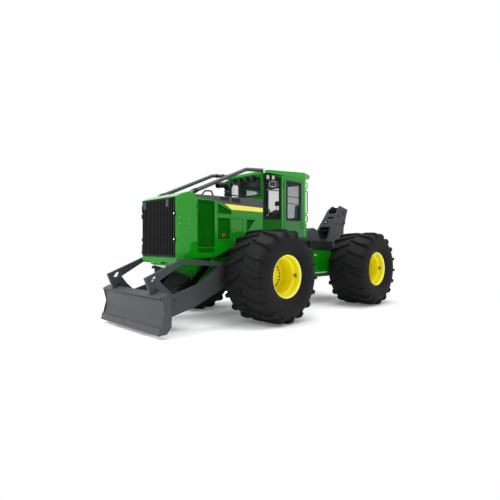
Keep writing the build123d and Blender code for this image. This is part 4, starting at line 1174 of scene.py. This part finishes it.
both_hands(marker_lamps, WHITE_PLASTIC, "rear_frame", 0.004)
both_hands(marker_lenses, AMBER, "rear_frame", 0.003)
both_hands(rear_flange_highlights, WHITE_PLASTIC, "rear_frame", 0.003)
both_hands(leaned(arch_front_ribs), ARCH_GREY, "rear_frame", 0.004)
both_hands(leaned(arch_top_ribs), ARCH_GREY, "rear_frame", 0.003)
both_hands(leaned(arch_bosses), ARCH_GREY, "rear_frame", 0.002)
single(arch_opening_shades, SHADE_BLACK, "rear_frame")
single(arch_plug, STEEL, "rear_frame")

# %% [markdown]
# ## The seat
#
# A seat is the one soft thing here. Its cushion and back start as plain slabs a little too small, get an
# even skin of 6 mm squares, and are then blown up by Blender's own cloth with pressure inside. No point may
# move more than 26 mm, so the slab crowns and its sides pull in between the corners. The plain CAD seat
# gives way to these pieces and the hard parts under them.

# %% Padding blown up by cloth
PUFF_LIMIT = 0.026
PUFF_FRAMES = 20


def padded_slab(name, corners_low, corners_high, tilt, pivot):
    """A cushion between two corners, turned by tilt about the X line through pivot (y, z)."""
    work = bmesh.new()
    add_block(work, corners_low, corners_high)
    bmesh.ops.bevel(work, geom=list(work.edges), offset=0.022, offset_type="OFFSET", segments=3,
                    profile=0.5, affect="EDGES", material=-1, clamp_overlap=True)
    hinge = Matrix.Translation(spot(0, *pivot))
    turn = hinge @ Matrix.Rotation(math.radians(tilt), 4, "X") @ hinge.inverted()
    bmesh.ops.transform(work, matrix=turn, verts=work.verts)
    piece = as_object(name, work, CLOTH, "front_frame")
    puff_up(piece)
    return piece


def applied(piece):
    """Keeps what the modifiers make as the piece's own mesh."""
    bpy.context.view_layer.update()
    shown = piece.evaluated_get(bpy.context.evaluated_depsgraph_get())
    mesh = bpy.data.meshes.new_from_object(shown)
    piece.modifiers.clear()
    piece.data = mesh


def puff_up(piece):
    even = piece.modifiers.new("even_skin", "REMESH")
    even.mode = "VOXEL"
    even.voxel_size = 0.006
    applied(piece)
    start = [v.co.copy() for v in piece.data.vertices]
    cloth = piece.modifiers.new("cloth", "CLOTH")
    cloth.settings.use_pressure = True
    cloth.settings.uniform_pressure_force = 4.0
    cloth.settings.effector_weights.gravity = 0.0
    cloth.point_cache.frame_start = 1
    cloth.point_cache.frame_end = PUFF_FRAMES
    for frame_number in range(1, PUFF_FRAMES + 1):
        bpy.context.scene.frame_set(frame_number)
    applied(piece)
    bpy.context.scene.frame_set(1)
    for v, home in zip(piece.data.vertices, start):
        move = v.co - home
        if move.length > PUFF_LIMIT:
            v.co = home + move * (PUFF_LIMIT / move.length)
    piece.modifiers.new("smooth_skin", "SUBSURF").levels = 1
    piece.modifiers["smooth_skin"].render_levels = 1
    applied(piece)
    piece.data.shade_smooth()
    print(piece.name, len(piece.data.polygons), "faces")


# %% The seat's pieces
cushion = padded_slab("seat_cushion", (-0.245, 1.200, 1.995), (0.245, 1.650, 2.072), -3, (1.40, 2.0))
padded_slab("seat_back", (-0.225, 1.590, 2.110), (0.225, 1.665, 2.405), -8, (1.62, 2.1))
padded_slab("seat_headrest", (-0.110, 1.650, 2.525), (0.110, 1.710, 2.640), -6, (1.68, 2.58))


def seat_base(work):
    add_block(work, (-0.170, 1.300, 1.705), (0.170, 1.570, 1.930))
    add_block(work, (-0.240, 1.210, 1.930), (0.240, 1.650, 1.985))


def seat_frame(work):
    add_plate(work, [(1.665, 1.960), (1.690, 1.960), (1.725, 2.420), (1.700, 2.420)], -0.200, 0.200)
    for x in (-0.070, 0.070):
        add_rod(work, (x, 1.705, 2.390), (x, 1.688, 2.560), 0.008, 10)


def arm_rests(work):
    add_block(work, (0.262, 1.300, 2.160), (0.322, 1.600, 2.195))
    add_tube(work, [(0.240, 1.690, 2.200), (0.290, 1.690, 2.175), (0.290, 1.580, 2.170)], 0.012)


single(seat_base, BLACK_PLASTIC, "front_frame", 0.012)
single(seat_frame, BLACK_PLASTIC, "front_frame", 0.004)
both_hands(arm_rests, BLACK_PLASTIC, "front_frame", 0.008)
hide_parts("cab_seat")

# %% [markdown]
# ## Tyres
#
# A forestry tyre is a smooth casing with tall slanted bars. The casing is one outline spun round the axle.
# A bar could be carved from the casing, but it is simpler to make one straight block, cut it into slices,
# and lay it along a curve over the crown and down the shoulder; turning copies by a fixed angle makes the
# tread. There are 36 bars on a tyre and four tyres, so one bar is kept to about a hundred faces.

# %% Spin an outline round the X axis
def spun(work, outline, steps):
    """Spins a closed (x, radius) outline round X."""
    dots = [work.verts.new((x, 0.0, r)) for x, r in outline]
    edges = [work.edges.new(pair) for pair in zip(dots, dots[1:] + dots[:1])]
    bmesh.ops.spin(work, geom=dots + edges, cent=(0, 0, 0), axis=(1, 0, 0), angle=2 * math.pi, steps=steps,
                   use_merge=True, use_duplicate=False)
    bmesh.ops.remove_doubles(work, verts=work.verts, dist=0.00001)
    bmesh.ops.recalc_face_normals(work, faces=work.faces)


def along(path, share):
    """The point a share of the way along a table of points, each step counted alike."""
    place = share * (len(path) - 1)
    i = min(int(place), len(path) - 2)
    t = place - i
    return tuple(a + t * (b - a) for a, b in zip(path[i], path[i + 1]))


# %% Casing and bars
CASING_HALF = [
    # x from the middle, radius
    (0.394, 0.400), (0.402, 0.424), (0.428, 0.428), (0.440, 0.440), (0.462, 0.462), (0.482, 0.490),
    (0.489, 0.497), (0.492, 0.512), (0.505, 0.545), (0.516, 0.585), (0.520, 0.625), (0.520, 0.660),
    (0.515, 0.705), (0.508, 0.742), (0.496, 0.775), (0.476, 0.808), (0.442, 0.840), (0.390, 0.860),
    (0.25, 0.874), (0.12, 0.878),
]
# The bar's middle line and half width: x, distance round the tyre, half width
BAR_PLAN = [(-0.015, -0.080, 0.020), (0.070, -0.048, 0.027), (0.170, 0.002, 0.029), (0.280, 0.048, 0.029),
            (0.400, 0.076, 0.028), (0.470, 0.087, 0.027), (0.508, 0.093, 0.026), (0.515, 0.096, 0.024)]
BAR_TOP = [0.918, 0.928, 0.930, 0.929, 0.924, 0.902, 0.850, 0.780]
BAR_FOOT = [0.850, 0.850, 0.850, 0.845, 0.835, 0.800, 0.770, 0.735]
BAR_FOOT_X = [-0.015, 0.070, 0.170, 0.280, 0.380, 0.440, 0.470, 0.480]
BAR_CUTS = 13
BARS_PER_SIDE = 18
CASING_STEPS = 108


def tyre_casing(work):
    outline = CASING_HALF + [(-x, r) for x, r in reversed(CASING_HALF)]
    spun(work, outline, CASING_STEPS)


def tread_bar():
    """One bar of the left half, standing at the top of the wheel."""
    work = bmesh.new()
    bmesh.ops.create_cube(work, size=1.0)
    lengthwise = [e for e in work.edges if abs(e.verts[0].co.x - e.verts[1].co.x) > 0.5]
    bmesh.ops.subdivide_edges(work, edges=lengthwise, cuts=BAR_CUTS, use_grid_fill=True)
    rims = [e for e in work.edges if all(v.co.z > 0.49 for v in e.verts) and len(e.link_faces) == 2
            and e.calc_face_angle(0) > 1.0]
    bmesh.ops.bevel(work, geom=rims, offset=0.025, offset_type="OFFSET", segments=1, profile=0.5,
                    affect="EDGES", material=-1, clamp_overlap=True)
    table = list(zip(BAR_PLAN, BAR_TOP, BAR_FOOT, BAR_FOOT_X))
    rows = [(*plan, top_r, foot_r, foot_x) for plan, top_r, foot_r, foot_x in table]
    for v in work.verts:
        share = v.co.x + 0.5
        x, s, half, top_r, foot_r, foot_x = along(rows, share)
        rise = v.co.z + 0.5
        flare = 1.0 + 0.55 * (1 - rise)
        distance = s + 2 * v.co.y * half * flare
        radius = foot_r + rise * (top_r - foot_r)
        across = foot_x + rise * (x - foot_x)
        angle = distance / TYRE_RADIUS
        v.co = (across, -radius * math.sin(angle), radius * math.cos(angle))
    bmesh.ops.recalc_face_normals(work, faces=work.faces)
    return as_mesh("bar", work)


def add_mesh(work, mesh, turn):
    """Adds a mesh to a bmesh, moved by a matrix. A mirroring matrix is turned the right way out again."""
    start = len(work.faces)
    work.from_mesh(mesh)
    work.faces.ensure_lookup_table()
    fresh = work.faces[start:]
    verts = list({v for f in fresh for v in f.verts})
    bmesh.ops.transform(work, matrix=turn, verts=verts)
    if turn.determinant() < 0:
        bmesh.ops.reverse_faces(work, faces=list(fresh))


def tyre_mesh():
    work = bmesh.new()
    tyre_casing(work)
    bar = tread_bar()
    pitch = 2 * math.pi / BARS_PER_SIDE
    mirror = Matrix.Scale(-1, 4, (1, 0, 0))
    for i in range(BARS_PER_SIDE):
        add_mesh(work, bar, Matrix.Rotation(i * pitch, 4, "X"))
        add_mesh(work, bar, Matrix.Rotation((i + 0.5) * pitch, 4, "X") @ mirror)
    mesh = as_mesh("tyre", work)
    print("tyre faces", len(mesh.polygons))
    return mesh


TYRE = tyre_mesh()

# %% [markdown]
# ## Rims
#
# The rim is a deep dish: a rolled flange, the wall that the bead sits against, a step down into the well,
# and the disc bolted to the hub at its bottom. One closed outline spun round the axle makes all of it, and
# the wheel nuts and the valve are set on by turning copies round the same axis.

# %% Rim outline and fittings
RIM_OUTLINE = [
    # tyre side, outboard to inboard
    (0.433, 0.4125), (0.432, 0.4185), (0.426, 0.4228), (0.410, 0.4228), (0.399, 0.414), (0.3945, 0.3998),
    (0.302, 0.396), (0.276, 0.358), (0.262, 0.352), (-0.262, 0.352), (-0.276, 0.358), (-0.302, 0.396),
    (-0.3945, 0.3998), (-0.399, 0.414), (-0.410, 0.4228), (-0.423, 0.4228), (-0.427, 0.416),
    # inside, back to the disc, the hub drum and the bore
    (-0.412, 0.405), (-0.398, 0.384), (-0.304, 0.378), (-0.274, 0.336), (-0.045, 0.334), (-0.0275, 0.322),
    (-0.0275, 0.192), (-0.238, 0.188), (-0.240, 0.100), (-0.236, 0.0853), (-0.040, 0.0853), (-0.040, 0.0),
    # outboard: hub cover, disc, well, step and flange
    (0.075, 0.0), (0.075, 0.118), (0.068, 0.130), (0.040, 0.134), (0.034, 0.150), (-0.002, 0.152),
    (-0.0025, 0.300), (0.006, 0.322), (0.024, 0.334), (0.262, 0.335), (0.274, 0.341), (0.302, 0.376),
    (0.312, 0.379), (0.392, 0.383), (0.402, 0.388), (0.412, 0.401), (0.421, 0.404), (0.429, 0.407),
]
RIM_STEPS = 96
WHEEL_NUTS = 22
NUT_CIRCLE = 0.243
# The washer, the nut and the stud's end: where each starts and stops, its radius and its sides
NUT_PARTS = ((-0.004, 0.004, 0.019, 16), (0.003, 0.020, 0.0165, 6), (0.018, 0.028, 0.009, 10))
# The port, its collar and its plug: where each starts and stops, and its radius
PORT_PARTS = ((0.352, 0.385, 0.036), (0.344, 0.356, 0.024), (0.330, 0.346, 0.012))


def rim_mesh():
    work = bmesh.new()
    spun(work, RIM_OUTLINE, RIM_STEPS)
    bmesh.ops.dissolve_degenerate(work, dist=0.00001, edges=work.edges)
    return as_mesh("rim", work)


def nut_mesh():
    """A wheel nut on its washer and stud end, standing along +X."""
    work = bmesh.new()
    for x0, x1, radius, sides in NUT_PARTS:
        stand = Matrix.Translation(((x0 + x1) / 2, 0, 0)) @ Matrix.Rotation(math.pi / 2, 4, "Y")
        add_cone(work, stand, radius, 0.92 * radius, x1 - x0, sides)
    return as_mesh("nut", work)


def nut_ring():
    work = bmesh.new()
    nut = nut_mesh()
    for i in range(WHEEL_NUTS):
        turn = Matrix.Rotation(2 * math.pi * i / WHEEL_NUTS, 4, "X")
        add_mesh(work, nut, turn @ Matrix.Translation((0, 0, NUT_CIRCLE)))
    return as_mesh("nuts", work)


def valve_mesh():
    """The round port through the bead wall, with its plug, standing along -Z at the top of the rim."""
    work = bmesh.new()
    for z0, z1, radius in PORT_PARTS:
        stand = Matrix.Translation((0.318, 0, (z0 + z1) / 2))
        add_cone(work, stand, radius, radius, z1 - z0, 24)
    return as_mesh("valve", work)


RIM = rim_mesh()
NUTS = nut_ring()
VALVE = valve_mesh()


# %% Put the wheels on
def wheel_piece(name, mesh, finish, body, place):
    """A copy of a wheel mesh, placed and finished, with its faces outwards whichever hand it is."""
    work = bmesh.new()
    add_mesh(work, mesh, place)
    return as_object(name, work, finish, body)


def lip_of(hub, sign):
    """Picks the faces of a rim's outer lip, by its hub's place and its hand."""
    def on_lip(middle, normal):
        arm = middle - hub
        return sign * arm.x > 0.400 and math.hypot(arm.y, arm.z) > 0.401
    return on_lip


REARWARD = Matrix.Rotation(-math.pi / 2, 4, "X")
for end, hand, sign, y in WHEELS:
    body = f"wheel_{end}_{hand}"
    label = f"{end}_{hand}"
    centre = Matrix.Translation((sign * HALF_TRACK, from_axle(y), TYRE_RADIUS))
    facing = centre @ Matrix.Scale(sign, 4, (1, 0, 0))
    tyre = wheel_piece("tyre_rubber_" + label, TYRE, RUBBER, body, facing)
    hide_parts("tyre_" + label)
    rim = wheel_piece("dished_rim_" + label, RIM, YELLOW, body, facing)
    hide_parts("rim_" + label)
    # The outer lip of each rim gets the pale yellow, a painted highlight
    repaint(rim, LIP_HIGHLIGHT_YELLOW, lip_of(Vector((sign * HALF_TRACK, y, TYRE_RADIUS)), sign))
    on_disc = facing @ Matrix.Translation((-0.0025, 0, 0))
    wheel_piece("wheel_nuts_" + label, NUTS, IRON, body, on_disc)
    wheel_piece("valve_port_" + label, VALVE, BRONZE, body, facing @ REARWARD)

# %% [markdown]
# ## Side stripe
#
# A yellow band runs back along each side of the hood from a slanted tip. It is a film 1.5 mm thick,
# drawn as one outline and thickened, with a thin dark line round it.

# %% Flat bands on the hood's sides
FILM_THICK = 0.0015


def side_film(name, outline, finish, x):
    """A flat piece on both sides of the hood. outline is (y from the axle, z)."""
    for hand, sign in SIDES:
        work = bmesh.new()
        face = work.faces.new([work.verts.new((sign * x, from_axle(y), z)) for y, z in outline])
        thicken(work, [face], (sign * FILM_THICK, 0, 0))
        as_object(f"{name}_{hand}", work, finish, "front_frame", smooth=False)


STRIPE = [(-0.645, 2.368), (-0.440, 2.258), (0.472, 2.258), (0.472, 2.350)]
STRIPE_EDGE = [(-0.690, 2.369), (-0.446, 2.248), (0.474, 2.248), (0.474, 2.3515)]
side_film("stripe_edge", STRIPE_EDGE, DARK_DECK, 0.600)
side_film("stripe", STRIPE, STRIPE_YELLOW, 0.6012)

# %% [markdown]
# ## Floor, light and camera
#
# The photograph is a studio cut-out: white all round, a soft shadow under the machine. The floor keeps
# the shadow because it is a real white surface, and far from the machine it fades to plain white, so no
# horizon shows. The world is white to the camera and to mirror-like rays, but lights the object gently.

# %% White floor
def floor_finish():
    material, shader, place = new_finish("studio_floor")
    tree = material.node_tree
    tree.nodes.remove(shader)
    wire = Wire(tree)
    far = wire.node("VectorMath", {"operation": "LENGTH"}, {0: place}, output="Value")
    fade = wire.node("MapRange", {"interpolation_type": "SMOOTHSTEP"},
                     {"Value": far, "From Min": 3.2, "From Max": 6.5, "To Min": 0.12, "To Max": 1.0})
    path = wire.node("LightPath", output="Is Camera Ray")
    lit = wire.node("BsdfDiffuse", {}, {"Color": (0.90, 0.90, 0.90, 1.0)})
    plain = wire.node("Emission", {}, {"Color": (1, 1, 1, 1), "Strength": 1.0})
    mixed = wire.node("MixShader", {}, {0: fade * path, 1: lit, 2: plain})
    tree.links.new(mixed.socket, tree.nodes["Material Output"].inputs["Surface"])
    return material


work = bmesh.new()
bmesh.ops.create_grid(work, x_segments=1, y_segments=1, size=60.0)
floor = placed("floor", as_mesh("floor", work))
floor.data.materials.append(floor_finish())
floor.location.z = -0.001


# %% World and lamps
def studio_world(light_level):
    world = bpy.data.worlds.new("studio")
    bpy.context.scene.world = world
    world.use_nodes = True
    tree = world.node_tree
    wire = Wire(tree)
    back = tree.nodes["Background"]
    back.inputs["Strength"].default_value = light_level
    rays = ("Is Camera Ray", "Is Glossy Ray", "Is Transmission Ray")
    seen = [wire.node("LightPath", output=name) for name in rays]
    direct = (seen[0] + seen[1] + seen[2]).limited()
    plain = wire.node("Background", {}, {"Color": (1, 1, 1, 1), "Strength": 1.0})
    mixed = wire.node("MixShader", {}, {0: direct, 1: Wire(tree, back.outputs[0]), 2: plain})
    tree.links.new(mixed.socket, tree.nodes["World Output"].inputs["Surface"])
    back.inputs["Color"].default_value = (0.95, 0.97, 1.0, 1.0)


def soft_box(name, place, aim, size, watts):
    lamp = bpy.data.lights.new(name, "AREA")
    lamp.shape = "RECTANGLE"
    lamp.size, lamp.size_y = size
    lamp.energy = watts
    holder = placed(name, lamp)
    holder.location = place
    holder.rotation_euler = (Vector(aim) - Vector(place)).to_track_quat("-Z", "Y").to_euler()


studio_world(0.80)
soft_box("key", (-3.0, -9.0, 8.5), (0.0, -1.0, 1.2), (6.0, 5.0), 900)
soft_box("over", (1.5, 0.5, 9.5), (0.0, 0.3, 0.0), (9.0, 9.0), 900)

# %% Camera at the photograph's place
CAMERA_PLACE = (6.60467, -6.95393, 1.55568)
CAMERA_AIM = (-0.7110, 0.7030, -0.01468)
lens = bpy.data.cameras.new("camera")
lens.sensor_width = 36.0
lens.lens = 28.459
lens.clip_end = 200.0
camera = placed("camera", lens)
camera.location = CAMERA_PLACE
camera.rotation_euler = Vector(CAMERA_AIM).to_track_quat("-Z", "Y").to_euler()
bpy.context.scene.camera = camera
bpy.context.scene.view_settings.view_transform = "Standard"
